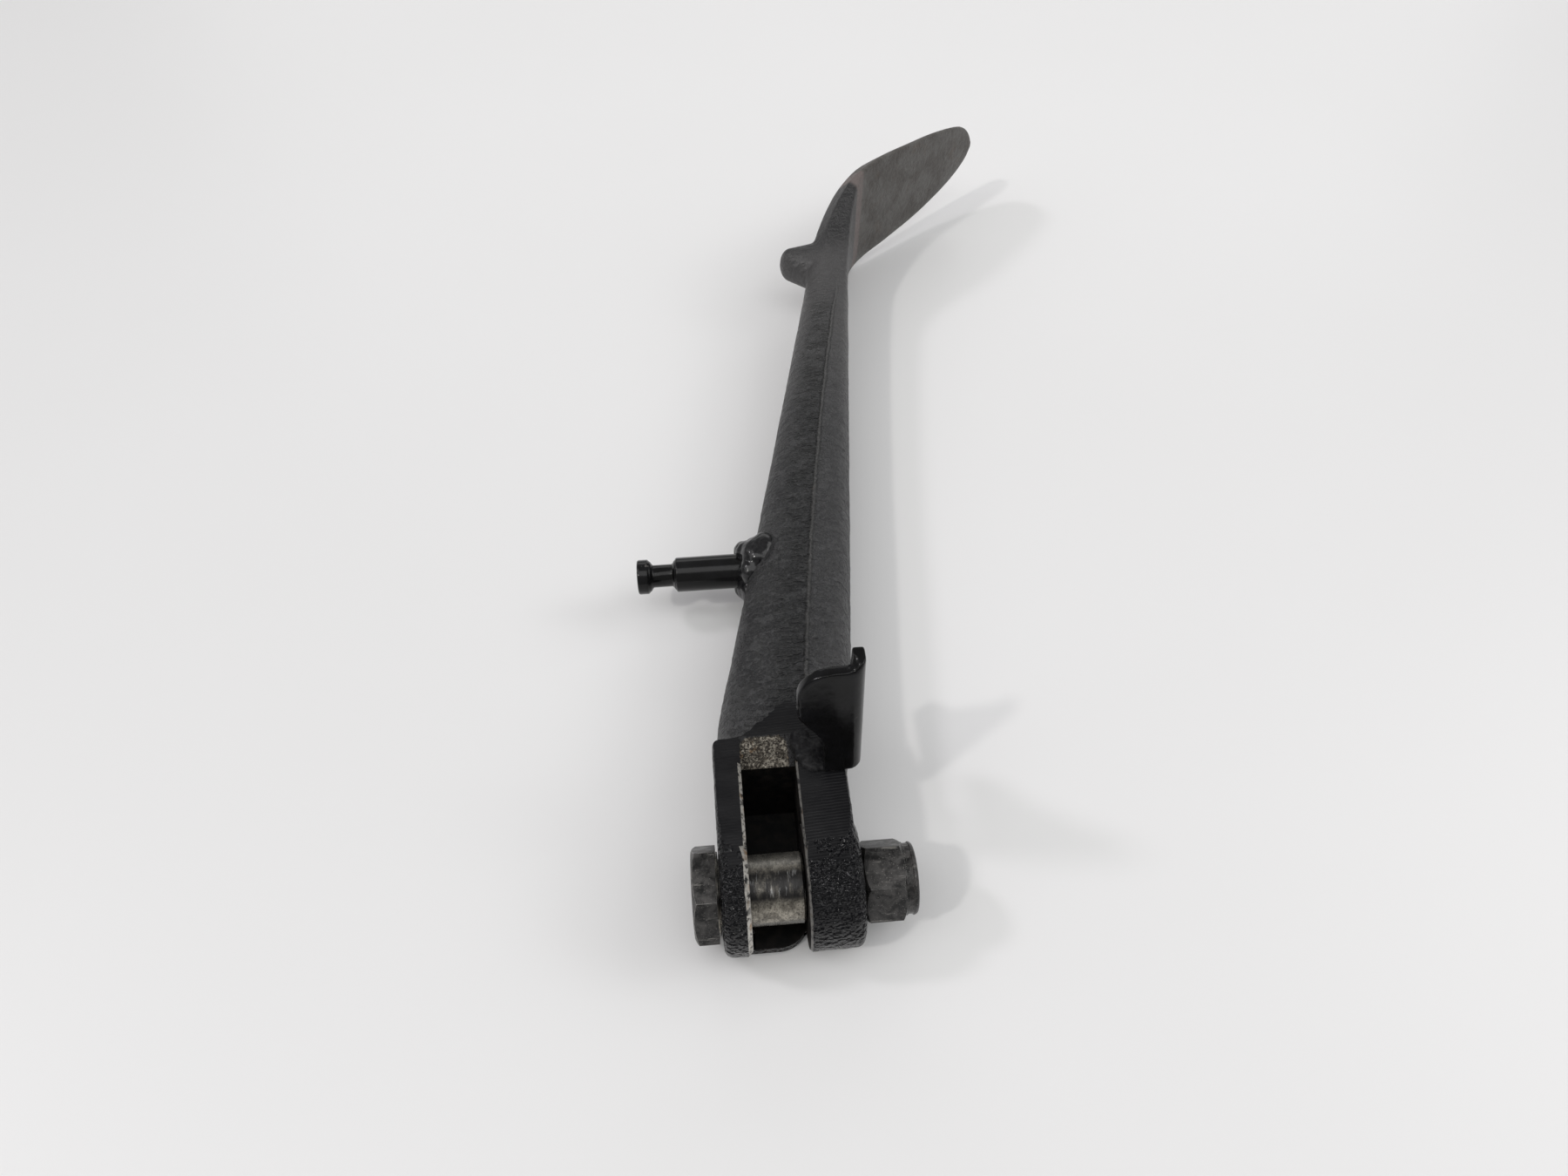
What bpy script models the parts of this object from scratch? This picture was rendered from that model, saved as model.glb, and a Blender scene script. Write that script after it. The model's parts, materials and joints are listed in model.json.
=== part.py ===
"""Motorcycle side stand: a forged leg that swings about a shoulder bolt.

The stand lies on its side, as on a bench.  +X runs along the pivot bolt from its head to its
nut, +Y runs along the leg towards the foot, +Z is up.  The design is written with the table at
Z = 0 and the pivot axis over X = Y = 0; one root empty then moves the origin to the bottom
centre of the whole object.
"""

from math import atan2, cos, pi, radians, sin

import bmesh
import bpy
from mathutils import Matrix, Vector

MM = 0.001
GAP = 0.3 * MM                     # clearance between touching pieces

# Clevis: two ears milled flat on both sides, with a slot for the frame lug
EAR_RADIUS = 12.0 * MM             # also the height of the pivot axis above the table
CLEVIS_HEIGHT = 2 * EAR_RADIUS
CLEVIS_LEFT = -10.9 * MM
CLEVIS_RIGHT = 15.0 * MM           # right arm
EAR_BOSS_RIGHT = 15.8 * MM         # the ear itself stands a little proud of its arm
CLEVIS_BACK = 27.0 * MM
SLOT_LEFT = -5.5 * MM
SLOT_RIGHT = 5.2 * MM
SLOT_ROOT = 21.2 * MM
WEB_TOP = 2.0 * MM                 # a thin web closes the slot underneath
WEB_FRONT = -7.7 * MM
STOP_FACE_BACK = 27.0 * MM         # where the bare stop face meets the milled top
STOP_FACE_SLOPE = radians(27)

# Pivot bolt: 17 mm hexagon, shoulder, 10 mm thread
SHOULDER_DIAMETER = 13.4 * MM
HEAD_ACROSS_FLATS = 17.0 * MM
HEAD_THICKNESS = 5.0 * MM
HEAD_TURN = radians(4.4)
THREAD_DIAMETER = 9.8 * MM
BOLT_END = 26.4 * MM

# Lock nut: 14 mm hexagon with a round collar that holds a nylon ring
NUT_ACROSS_FLATS = 14.0 * MM
NUT_HEX_LENGTH = 8.0 * MM
NUT_COLLAR_LENGTH = 2.2 * MM
NUT_COLLAR_DIAMETER = 13.8 * MM
NUT_TURN = radians(7)
RING_OUTER_DIAMETER = 11.4 * MM

# Leg: one straight tapered forging; the stations follow from these
LEG_AXIS_X = 7.1 * MM              # X of the leg's axis at LEG_AXIS_Y
LEG_AXIS_Y = 50.0 * MM
LEG_SLOPE = 0.1708                 # sideways lean of the axis, 9.7 degrees
LEG_HALF_WIDTH = 13.0 * MM         # at LEG_AXIS_Y
LEG_TAPER = 0.0542                 # half width lost for each unit of length

# Foot: a flat blade on edge, which turns off to the right of the leg
FOOT_ROOT = Vector((42.9, 212.1, 0.0)) * MM     # middle of its thickness at its root
FOOT_HEADING = radians(49)         # from +Y towards +X
FOOT_THICKNESS = 5.4 * MM
SOLE_DEPTH = 2.4 * MM              # the flat sole lies this far behind the blade's middle

# Spring post, welded on the left of the leg
POST_Y = 79.2 * MM
POST_Z = 12.6 * MM
POST_TIP_X = -25.9 * MM
POST_BASE_X = -1.1 * MM
POST_DIAMETER = 8.0 * MM
GROOVE_DIAMETER = 5.2 * MM

# Stop bracket: an upright folded sheet on the right arm of the clevis
SHEET = 2.4 * MM
BRACKET_FOOT_Y = 18.6 * MM
BRACKET_LEAN = 0.125               # the sheet leans back by this much for each unit of height
BRACKET_BEND_RADIUS = 2.6 * MM     # on the outer side
BRACKET_RIGHT = 17.9 * MM
BRACKET_HEIGHT = 27.6 * MM
TAB_RISE = 1.6 * MM                # the flange's top stands this much above the plate's

ROUND_STEPS = 32
SECTION_POINTS = 32
LEG_SECTIONS = 46


# --------------------------------------------------------------------------- helpers


def material(name, colour, roughness, metallic):
    mat = bpy.data.materials.new(name)
    mat.use_nodes = True
    shader = mat.node_tree.nodes["Principled BSDF"]
    shader.inputs["Base Color"].default_value = (*colour, 1)
    shader.inputs["Roughness"].default_value = roughness
    shader.inputs["Metallic"].default_value = metallic
    return mat


def collection(name):
    group = bpy.data.collections.new(name)
    bpy.context.scene.collection.children.link(group)
    return group


def new_object(name, mesh, group):
    obj = bpy.data.objects.new(name, mesh)
    group.objects.link(obj)
    return obj


def mesh_from_bmesh(name, bm):
    bmesh.ops.recalc_face_normals(bm, faces=bm.faces)
    mesh = bpy.data.meshes.new(name)
    bm.to_mesh(mesh)
    bm.free()
    return mesh


def box(name, group, low, high):
    """A box between two corners."""
    bm = bmesh.new()
    bmesh.ops.create_cube(bm, size=1)
    size = Vector(high) - Vector(low)
    middle = (Vector(high) + Vector(low)) / 2
    bm.transform(Matrix.Translation(middle) @ Matrix.Diagonal(size).to_4x4())
    return new_object(name, mesh_from_bmesh(name, bm), group)


def rod_x(name, group, radius, x_from, x_to, y=0.0, z=EAR_RADIUS, sides=ROUND_STEPS):
    """A cylinder, or a prism, along X."""
    bm = bmesh.new()
    turn = Matrix.Rotation(pi / 2, 4, "Y")
    place = Matrix.Translation(((x_from + x_to) / 2, y, z))
    bmesh.ops.create_cone(bm, cap_ends=True, segments=sides, radius1=radius, radius2=radius,
                          depth=x_to - x_from, matrix=place @ turn)
    return new_object(name, mesh_from_bmesh(name, bm), group)


def outline_solid(name, group, points, thickness):
    """A closed flat outline in XY, made a plate centred on z = 0, with its caps welded."""
    curve = bpy.data.curves.new(name, "CURVE")
    curve.dimensions = "2D"
    curve.fill_mode = "BOTH"
    curve.extrude = thickness / 2
    line = curve.splines.new("POLY")
    line.points.add(len(points) - 1)
    for point, (x, y) in zip(line.points, points):
        point.co = (x, y, 0, 1)
    line.use_cyclic_u = True
    guide = new_object(name + "_outline", curve, group)
    bpy.context.view_layer.update()
    evaluated = guide.evaluated_get(bpy.context.evaluated_depsgraph_get())
    mesh = bpy.data.meshes.new_from_object(evaluated)
    bpy.data.objects.remove(guide)
    bm = bmesh.new()
    bm.from_mesh(mesh)
    bmesh.ops.remove_doubles(bm, verts=bm.verts, dist=0.00001)
    bmesh.ops.recalc_face_normals(bm, faces=bm.faces)
    bm.to_mesh(mesh)
    bm.free()
    return new_object(name, mesh, group)


def arc(centre, radius, start, end, steps):
    """Points on an arc, angles in degrees."""
    angles = [radians(start + (end - start) * i / steps) for i in range(steps + 1)]
    return [(centre[0] + radius * cos(a), centre[1] + radius * sin(a)) for a in angles]


def turned_x(name, group, profile, y=0.0, z=EAR_RADIUS, steps=ROUND_STEPS):
    """A solid or ring turned about X; the profile lists (x, radius) around its section.

    It is drawn at +X of a local Z axis, running down the outer side, and laid over onto X.
    """
    mesh = bpy.data.meshes.new(name)
    points = [(radius, 0, -x) for x, radius in profile]
    count = len(points)
    closed = profile[0][1] > 0
    edges = [(i, (i + 1) % count) for i in range(count if closed else count - 1)]
    mesh.from_pydata(points, edges, [])
    obj = new_object(name, mesh, group)
    screw = obj.modifiers.new("turn", "SCREW")
    screw.steps = steps
    screw.render_steps = steps
    screw.use_merge_vertices = True
    screw.merge_threshold = 0.00001
    obj.rotation_euler = (0, -pi / 2, 0)
    obj.location = (0, y, z)
    return obj


def boolean(obj, other, operation):
    modifier = obj.modifiers.new(operation.lower(), "BOOLEAN")
    modifier.operation = operation
    modifier.object = other


def hide_cutter(obj):
    obj.hide_render = True
    obj.display_type = "WIRE"
    return obj


def bevel(obj, width, segments=2, angle=35):
    modifier = obj.modifiers.new("bevel", "BEVEL")
    modifier.width = width
    modifier.segments = segments
    modifier.limit_method = "ANGLE"
    modifier.angle_limit = radians(angle)


def smooth(obj, angle=35):
    obj.data.shade_smooth()
    obj.data.set_sharp_from_angle(angle=radians(angle))


def blend(rows, position):
    """Catmull-Rom through rows of numbers; position runs from 0 to len(rows) - 1."""
    index = min(int(position), len(rows) - 2)
    t = position - index
    before = rows[max(index - 1, 0)]
    here = rows[index]
    after = rows[index + 1]
    beyond = rows[min(index + 2, len(rows) - 1)]
    return [
        0.5 * (2 * b + (c - a) * t + (2 * a - 5 * b + 4 * c - d) * t * t
               + (3 * b - a - 3 * c + d) * t ** 3)
        for a, b, c, d in zip(before, here, after, beyond)
    ]


# --------------------------------------------------------------------------- forging


def leg_station(y, bottom, top, squareness, ridge):
    """A station on the straight leg: the place on its axis and its tapered width."""
    y *= MM
    x = LEG_AXIS_X + LEG_SLOPE * (y - LEG_AXIS_Y)
    half = LEG_HALF_WIDTH - LEG_TAPER * (y - LEG_AXIS_Y)
    return [x, y, half, bottom * MM, top * MM, squareness, ridge]


def foot_station(along, bottom, top, squareness=3.6, thickness=1.0):
    """A station on the blade, measured along it from its root."""
    run = along * MM
    x = FOOT_ROOT.x + run * sin(FOOT_HEADING)
    y = FOOT_ROOT.y + run * cos(FOOT_HEADING)
    return [x, y, thickness * FOOT_THICKNESS / 2, bottom * MM, top * MM, squareness, 0.0]


def bend_station(x, y, half, bottom, top, squareness, ridge):
    """A station in the bend, where the bar turns and becomes a blade."""
    return [x * MM, y * MM, half * MM, bottom * MM, top * MM, squareness, ridge]


# bottom and top heights, squareness of the section, and how far the crest sits to the right
STATIONS = [
    bend_station(2.4, 22.0, 12.4, 0.4, 24.4, 4.0, 0.0),
    leg_station(33, 0.4, 24.1, 3.2, 0.2),
    leg_station(50, 1.4, 23.8, 2.8, 0.2),
    leg_station(80, 3.5, 22.9, 2.5, 0.2),
    leg_station(110, 5.2, 22.2, 2.4, 0.2),
    leg_station(140, 6.6, 21.9, 2.4, 0.25),
    leg_station(165, 7.7, 21.8, 2.6, 0.3),
    leg_station(182, 7.6, 22.6, 2.8, 0.4),
    bend_station(31.6, 192.0, 5.4, 4.6, 24.6, 2.8, 0.45),
    bend_station(34.6, 200.5, 4.5, 1.8, 29.2, 3.0, 0.4),
    bend_station(38.2, 207.2, 3.6, 1.4, 33.2, 3.2, 0.2),
    foot_station(0, 2.4, 35.0),
    foot_station(10, 3.4, 34.6),
    foot_station(20, 4.7, 33.5),
    foot_station(30, 6.6, 32.3, 3.6, 0.95),
    foot_station(39, 9.3, 30.4, 3.4, 0.9),
    foot_station(45, 11.6, 28.1, 3.0, 0.82),
    foot_station(49.2, 14.4, 25.0, 2.6, 0.7),
    foot_station(51.6, 17.6, 21.6, 2.2, 0.5),
]


def section_points(half, bottom, top, squareness, ridge, grow):
    """One closed section in local (sideways, height), four super-elliptic quarters."""
    middle = (bottom + top) / 2
    crest = ridge * half
    points = []
    for i in range(SECTION_POINTS):
        angle = 2 * pi * i / SECTION_POINTS
        side = abs(cos(angle)) ** (2 / squareness)
        rise = abs(sin(angle)) ** (2 / squareness)
        upper = sin(angle) >= 0
        centre = crest if upper else 0.0
        reach = (half + grow) - centre if cos(angle) >= 0 else -(half + grow) - centre
        height = (top + grow - middle) if upper else (bottom - grow - middle)
        points.append((centre + reach * side, middle + height * rise))
    return points


def leg_loft(name, group, grow=0.0, sections=LEG_SECTIONS):
    """The whole bar and blade as a loft through its stations."""
    last = len(STATIONS) - 1
    bm = bmesh.new()
    rings = []
    for i in range(sections + 1):
        position = last * i / sections
        x, y, half, bottom, top, squareness, ridge = blend(STATIONS, position)
        ahead = blend(STATIONS, min(position + 0.05, last))
        behind = blend(STATIONS, max(position - 0.05, 0))
        heading = atan2(ahead[0] - behind[0], ahead[1] - behind[1])
        ring = []
        for side, height in section_points(half, bottom, top, squareness, ridge, grow):
            ring.append(bm.verts.new((x + side * cos(heading), y - side * sin(heading), height)))
        rings.append(ring)
    for ring, following in zip(rings, rings[1:]):
        for i in range(SECTION_POINTS):
            j = (i + 1) % SECTION_POINTS
            bm.faces.new((ring[i], ring[j], following[j], following[i]))
    bm.faces.new(rings[0])
    bm.faces.new(rings[-1])
    return new_object(name, mesh_from_bmesh(name, bm), group)


def clevis_block(group):
    """Ears and root: the side outline, a half circle and a bar, spread along X."""
    radius = EAR_RADIUS
    outline = arc((0, radius), radius, 270, 90, 20)
    outline += [(CLEVIS_BACK, CLEVIS_HEIGHT), (CLEVIS_BACK, 0)]
    block = outline_solid("clevis_block", group, outline, CLEVIS_RIGHT - CLEVIS_LEFT)
    # local XY is the side view: X to +Y, Y to +Z, thickness to +X
    turn = Matrix(((0, 0, 1, 0), (1, 0, 0, 0), (0, 1, 0, 0), (0, 0, 0, 1)))
    shift = Matrix.Translation(((CLEVIS_LEFT + CLEVIS_RIGHT) / 2, 0, 0))
    block.data.transform(shift @ turn)
    bevel(block, 1.1 * MM, 2, 60)
    return block


def slot_web(group):
    """The thin web under the slot; its front edge curves back towards the right ear."""
    embed = 0.4 * MM
    left = SLOT_LEFT - embed
    right = SLOT_RIGHT + embed
    bend = 6.0 * MM
    outline = [(left, 0), (left, WEB_FRONT)]
    outline += arc((right - bend, WEB_FRONT + bend), bend, 270, 325, 6)
    outline += [(right, WEB_FRONT + 0.6 * bend), (right, 0)]
    web = outline_solid("slot_web", group, outline, 2 * WEB_TOP)
    web.data.transform(Matrix.Translation((0, 0, 0.3 * WEB_TOP)))
    return web


def horn(group):
    """The stub on the left of the leg that the rider's boot catches."""
    outline = [(30, 181), (24.6, 182.6), (18.9, 188.2)]
    outline += arc((20.0, 191.4), 2.9, 215, 120, 5)
    outline += [(22.8, 195.0), (28, 197.5), (33, 198)]
    outline = [(x * MM, y * MM) for x, y in outline]
    body = outline_solid("horn", group, outline, 10.4 * MM)
    body.data.transform(Matrix.Translation((0, 0, 15.4 * MM)))
    bevel(body, 2.4 * MM, 3)
    return body


def build_leg(parts, cutters):
    leg = leg_loft("stand_leg", parts)
    boolean(leg, hide_cutter(clevis_block(cutters)), "UNION")
    boolean(leg, hide_cutter(horn(cutters)), "UNION")
    boss = rod_x("ear_boss", cutters, EAR_RADIUS - GAP, 0, EAR_BOSS_RIGHT)
    boolean(leg, hide_cutter(boss), "UNION")
    boolean(leg, hide_cutter(slot_web(cutters)), "UNION")

    far = 40 * MM
    cuts = [
        box("milled_top", cutters, (-far, -far, CLEVIS_HEIGHT), (far, 60 * MM, far)),
        box("milled_bottom", cutters, (-far, -far, -far), (far, 60 * MM, 0)),
        box("slot", cutters, (SLOT_LEFT, -far, WEB_TOP), (SLOT_RIGHT, SLOT_ROOT, far)),
        rod_x("shoulder_bore", cutters, SHOULDER_DIAMETER / 2 + GAP, -far, 0),
        rod_x("thread_bore", cutters, THREAD_DIAMETER / 2 + 1.5 * GAP, 0, far),
    ]

    # bare stop face: a slope cut at the slot's root, as wide as the slot
    stop = box("stop_face", cutters, (SLOT_LEFT, -far, 0), (SLOT_RIGHT, 0, far))
    stop.data.transform(Matrix.Translation((0, STOP_FACE_BACK, CLEVIS_HEIGHT))
                        @ Matrix.Rotation(STOP_FACE_SLOPE, 4, "X"))
    cuts.append(stop)

    # flat sole behind the blade
    sole = box("sole", cutters, (-far, SOLE_DEPTH, -far), (2 * far, far, 2 * far))
    sole.data.transform(Matrix.Translation(FOOT_ROOT)
                        @ Matrix.Rotation(pi / 2 - FOOT_HEADING, 4, "Z")
                        @ Matrix.Translation((46 * MM, 0, 0)))
    cuts.append(sole)

    for cut in cuts:
        boolean(leg, hide_cutter(cut), "DIFFERENCE")
    smooth(leg)
    return leg


# --------------------------------------------------------------------------- welded pieces


def build_post(parts):
    """Turned post with a head and a groove that keep a spring's hook in place."""
    tip = POST_TIP_X
    body = POST_DIAMETER / 2
    groove = GROOVE_DIAMETER / 2
    round_off = 0.5 * MM
    head_end = tip + 2.8 * MM
    groove_end = head_end + 6.0 * MM
    profile = [
        (POST_BASE_X, 0),
        (POST_BASE_X, body),
        (groove_end + round_off, body),
        (groove_end, body - round_off),
        (groove_end - 0.2 * MM, groove + 0.6 * MM),
        (groove_end - 0.8 * MM, groove),
        (head_end + 0.8 * MM, groove),
        (head_end + 0.2 * MM, groove + 0.6 * MM),
        (head_end, body - round_off),
        (head_end - round_off, body),
        (tip + round_off, body),
        (tip, body - round_off),
        (tip, 0),
    ]
    post = turned_x("spring_post", parts, profile[::-1], POST_Y, POST_Z)
    smooth(post)
    return post


def build_post_weld(parts, cutters):
    """Fillet of weld between the post and the side of the leg."""
    bore = POST_DIAMETER / 2 + GAP
    profile = [
        (-4.2, 4.75), (-3.6, 5.0), (-2.4, 5.5), (-1.0, 6.2), (0.6, 7.0), (3.0, 7.5), (6.0, 6.9),
    ]
    ring = [(x * MM, radius * MM) for x, radius in profile]
    ring += [(6.0 * MM, bore), (-4.2 * MM, bore)]
    weld = turned_x("spring_post_weld", parts, ring, POST_Y, POST_Z, 28)
    boolean(weld, hide_cutter(leg_loft("weld_leg_clearance", cutters, GAP, 40)), "DIFFERENCE")
    smooth(weld, 50)
    return weld


def ease(value, low, high):
    """0 below low, 1 above high, and a smooth S between."""
    t = min(max((value - low) / (high - low), 0), 1)
    return t * t * (3 - 2 * t)


def bracket_left(height):
    """The plate's left edge: a narrow neck that swells into a lobe with a round corner."""
    neck = 10.3 * MM
    lobe = 5.4 * MM
    corner = 5.5 * MM
    edge = neck + (lobe - neck) * ease(height, 8 * MM, 18 * MM)
    over = height - (BRACKET_HEIGHT - corner)
    if over > 0:
        edge += corner - max(corner * corner - over * over, 0) ** 0.5
    return edge


def bracket_back(height):
    """How far back the flange reaches: a lobe low down, a slim tab at the top."""
    lobe = 15.0 * MM
    middle = 9.0 * MM
    tab = 2.4 * MM
    reach = lobe + (middle - lobe) * ease(height, 4 * MM, 12 * MM)
    return reach + (tab - middle) * ease(height, 10 * MM, 27 * MM)


def build_bracket(parts):
    """One folded sheet: a plate that faces forwards and a flange along the right side."""
    rows = 22
    columns = 20
    radius = BRACKET_BEND_RADIUS - SHEET / 2
    bend_x = BRACKET_RIGHT - BRACKET_BEND_RADIUS
    bend_length = radius * pi / 2
    bm = bmesh.new()
    bmesh.ops.create_grid(bm, x_segments=columns, y_segments=rows, size=0.5)
    for vert in bm.verts:
        across = vert.co.x + 0.5
        up = vert.co.y + 0.5
        height = up * BRACKET_HEIGHT
        left = bracket_left(height)
        length = (bend_x - left) + bend_length + bracket_back(height)
        along = across * length
        flat = bend_x - left
        if along < flat:
            x, y = left + along, 0.0
        elif along < flat + bend_length:
            turn = (along - flat) / radius
            x, y = bend_x + radius * sin(turn), radius * (1 - cos(turn))
        else:
            x, y = bend_x + radius, radius + along - flat - bend_length
        rise = min(max(y / (3 * MM), 0), 1) * TAB_RISE * up
        vert.co = (x, BRACKET_FOOT_Y + y + BRACKET_LEAN * height,
                   CLEVIS_HEIGHT + GAP + height + rise)
    bracket = new_object("stop_bracket", mesh_from_bmesh("stop_bracket", bm), parts)
    sheet = bracket.modifiers.new("sheet", "SOLIDIFY")
    sheet.thickness = SHEET
    sheet.offset = 0
    smooth(bracket)
    return bracket


def build_bracket_weld(parts):
    """Bead along the foot of the bracket's plate, in the corner with the milled top."""
    bm = bmesh.new()
    bmesh.ops.create_uvsphere(bm, u_segments=20, v_segments=12, radius=1)
    size = Matrix.Diagonal((2.6 * MM, 4.2 * MM, 2.3 * MM, 1))
    place = Matrix.Translation((7.4 * MM, 23.2 * MM, CLEVIS_HEIGHT + GAP + 0.4 * MM))
    bm.transform(place @ size)
    floor = CLEVIS_HEIGHT + GAP
    bmesh.ops.bisect_plane(bm, geom=bm.verts[:] + bm.edges[:] + bm.faces[:],
                           plane_co=(0, 0, floor), plane_no=(0, 0, -1), clear_outer=True)
    rim = [edge for edge in bm.edges if edge.is_boundary]
    bmesh.ops.holes_fill(bm, edges=rim)
    weld = new_object("bracket_weld", mesh_from_bmesh("bracket_weld", bm), parts)
    smooth(weld)
    return weld


# --------------------------------------------------------------------------- pivot


def hexagon_chamfer(name, group, across_flats, x_from, x_to, chamfer, both):
    """A turned envelope that trims a hexagon's corners; it runs past both its ends."""
    corner = across_flats / 2 / cos(radians(30)) + 0.2 * MM
    flat = across_flats / 2 * 0.97
    over = 0.5 * MM
    tip = flat - over * (corner - flat) / chamfer
    profile = [(x_from - over, 0), (x_from - over, tip), (x_from + chamfer, corner)]
    profile += [(x_to - chamfer, corner), (x_to + over, tip)] if both else [(x_to + over, corner)]
    profile += [(x_to + over, 0)]
    return turned_x(name, group, profile)


def build_bolt(parts, cutters):
    """Shoulder bolt: hexagon head, ground shoulder, reduced thread."""
    face = CLEVIS_LEFT - GAP
    corner = HEAD_ACROSS_FLATS / 2 / cos(radians(30))
    bolt = rod_x("pivot_bolt", parts, corner, face - HEAD_THICKNESS, face - 0.4 * MM, sides=6)
    bolt.data.transform(Matrix.Translation((0, 0, EAR_RADIUS))
                        @ Matrix.Rotation(HEAD_TURN, 4, "X")
                        @ Matrix.Translation((0, 0, -EAR_RADIUS)))
    envelope = hexagon_chamfer("head_envelope", cutters, HEAD_ACROSS_FLATS,
                               face - HEAD_THICKNESS, face - 0.4 * MM, 0.9 * MM, False)
    boolean(bolt, hide_cutter(envelope), "INTERSECT")
    shoulder = SHOULDER_DIAMETER / 2
    thread = THREAD_DIAMETER / 2
    shoulder_end = SLOT_RIGHT - GAP
    shank = [
        (face - 1.0 * MM, 0),
        (face - 1.0 * MM, HEAD_ACROSS_FLATS / 2 - 0.7 * MM),
        (face, HEAD_ACROSS_FLATS / 2 - 0.7 * MM),
        (face, shoulder),
        (shoulder_end - 0.4 * MM, shoulder),
        (shoulder_end, shoulder - 0.4 * MM),
        (shoulder_end, thread),
        (BOLT_END - 0.8 * MM, thread),
        (BOLT_END, thread - 0.8 * MM),
        (BOLT_END, 0),
    ]
    boolean(bolt, hide_cutter(turned_x("bolt_shank", cutters, shank)), "UNION")
    smooth(bolt)
    return bolt


def build_nut(parts, cutters):
    """Lock nut: chamfered hexagon, round collar, plain bore, recess for the nylon ring."""
    inner = EAR_BOSS_RIGHT + GAP
    hex_end = inner + NUT_HEX_LENGTH
    outer = hex_end + NUT_COLLAR_LENGTH
    corner = NUT_ACROSS_FLATS / 2 / cos(radians(30))
    nut = rod_x("pivot_nut", parts, corner, inner, hex_end, sides=6)
    nut.data.transform(Matrix.Translation((0, 0, EAR_RADIUS))
                       @ Matrix.Rotation(NUT_TURN, 4, "X")
                       @ Matrix.Translation((0, 0, -EAR_RADIUS)))
    envelope = hexagon_chamfer("nut_envelope", cutters, NUT_ACROSS_FLATS, inner, hex_end,
                               0.9 * MM, True)
    boolean(nut, hide_cutter(envelope), "INTERSECT")
    collar = NUT_COLLAR_DIAMETER / 2
    round_off = 0.7 * MM
    profile = [
        (hex_end - 2 * MM, 0),
        (hex_end - 2 * MM, collar),
        (outer - round_off, collar),
        (outer - 0.2 * MM, collar - 0.5 * round_off),
        (outer, collar - round_off),
        (outer, 0),
    ]
    boolean(nut, hide_cutter(turned_x("nut_collar", cutters, profile)), "UNION")
    bore = THREAD_DIAMETER / 2 + GAP
    recess = RING_OUTER_DIAMETER / 2 + GAP
    past = 5 * MM
    hollow = [
        (inner - past, 0),
        (inner - past, bore),
        (hex_end - 1 * MM, bore),
        (hex_end - 1 * MM, recess),
        (outer + past, recess),
        (outer + past, 0),
    ]
    cut = turned_x("nut_hollow", cutters, hollow, steps=ROUND_STEPS - 4)
    boolean(nut, hide_cutter(cut), "DIFFERENCE")
    smooth(nut)
    return nut


def build_ring(parts):
    """Nylon ring in the nut's collar, which grips the thread."""
    start = EAR_BOSS_RIGHT + NUT_HEX_LENGTH - 1 * MM + 2 * GAP
    end = start + 2.4 * MM
    outer = RING_OUTER_DIAMETER / 2
    inner = THREAD_DIAMETER / 2 + GAP
    profile = [(start, outer), (end, outer), (end, inner), (start, inner)]
    ring = turned_x("nut_insert", parts, profile)
    smooth(ring)
    return ring


# --------------------------------------------------------------------------- assembly


def box_centre(objects):
    """Middle of the box around all the finished pieces, seen from above."""
    bpy.context.view_layer.update()
    graph = bpy.context.evaluated_depsgraph_get()
    corners = []
    for obj in objects:
        done = obj.evaluated_get(graph)
        corners += [done.matrix_world @ Vector(corner) for corner in done.bound_box]
    low = [min(corner[i] for corner in corners) for i in range(2)]
    high = [max(corner[i] for corner in corners) for i in range(2)]
    return [(a + b) / 2 for a, b in zip(low, high)]


def main():
    for obj in list(bpy.data.objects):
        bpy.data.objects.remove(obj)
    parts = collection("kickstand")
    cutters = collection("cutters")

    black = material("satin_black_paint", (0.035, 0.035, 0.037), 0.42, 0.0)
    gloss = material("gloss_black_paint", (0.018, 0.018, 0.02), 0.22, 0.0)
    steel = material("dark_steel", (0.16, 0.155, 0.15), 0.38, 1.0)
    nylon = material("nylon", (0.55, 0.55, 0.5), 0.5, 0.0)

    made = [
        (build_leg(parts, cutters), black, "stand"),
        (build_post(parts), gloss, "stand"),
        (build_post_weld(parts, cutters), gloss, "stand"),
        (build_bracket(parts), gloss, "stand"),
        (build_bracket_weld(parts), black, "stand"),
        (build_bolt(parts, cutters), steel, "pivot"),
        (build_nut(parts, cutters), steel, "pivot"),
        (build_ring(parts), nylon, "pivot"),
    ]

    root = new_object("kickstand_root", None, parts)
    swing = new_object("stand_swing_axis", None, parts)
    swing.location = (0, 0, EAR_RADIUS)
    swing.parent = root
    for obj, mat, body in made:
        obj.data.materials.clear()
        obj.data.materials.append(mat)
        if body == "stand":
            obj.parent = swing
            obj.location.z -= EAR_RADIUS
        else:
            obj.parent = root
    for obj in cutters.objects:
        obj.parent = root
    middle = box_centre([obj for obj, mat, body in made])
    root.location = (-middle[0], -middle[1], 0)


main()
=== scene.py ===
import json
from math import atan2, cos, exp, pi, radians, sin, sqrt

import bmesh
import bpy
from mathutils import Matrix, Vector, noise


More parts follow.
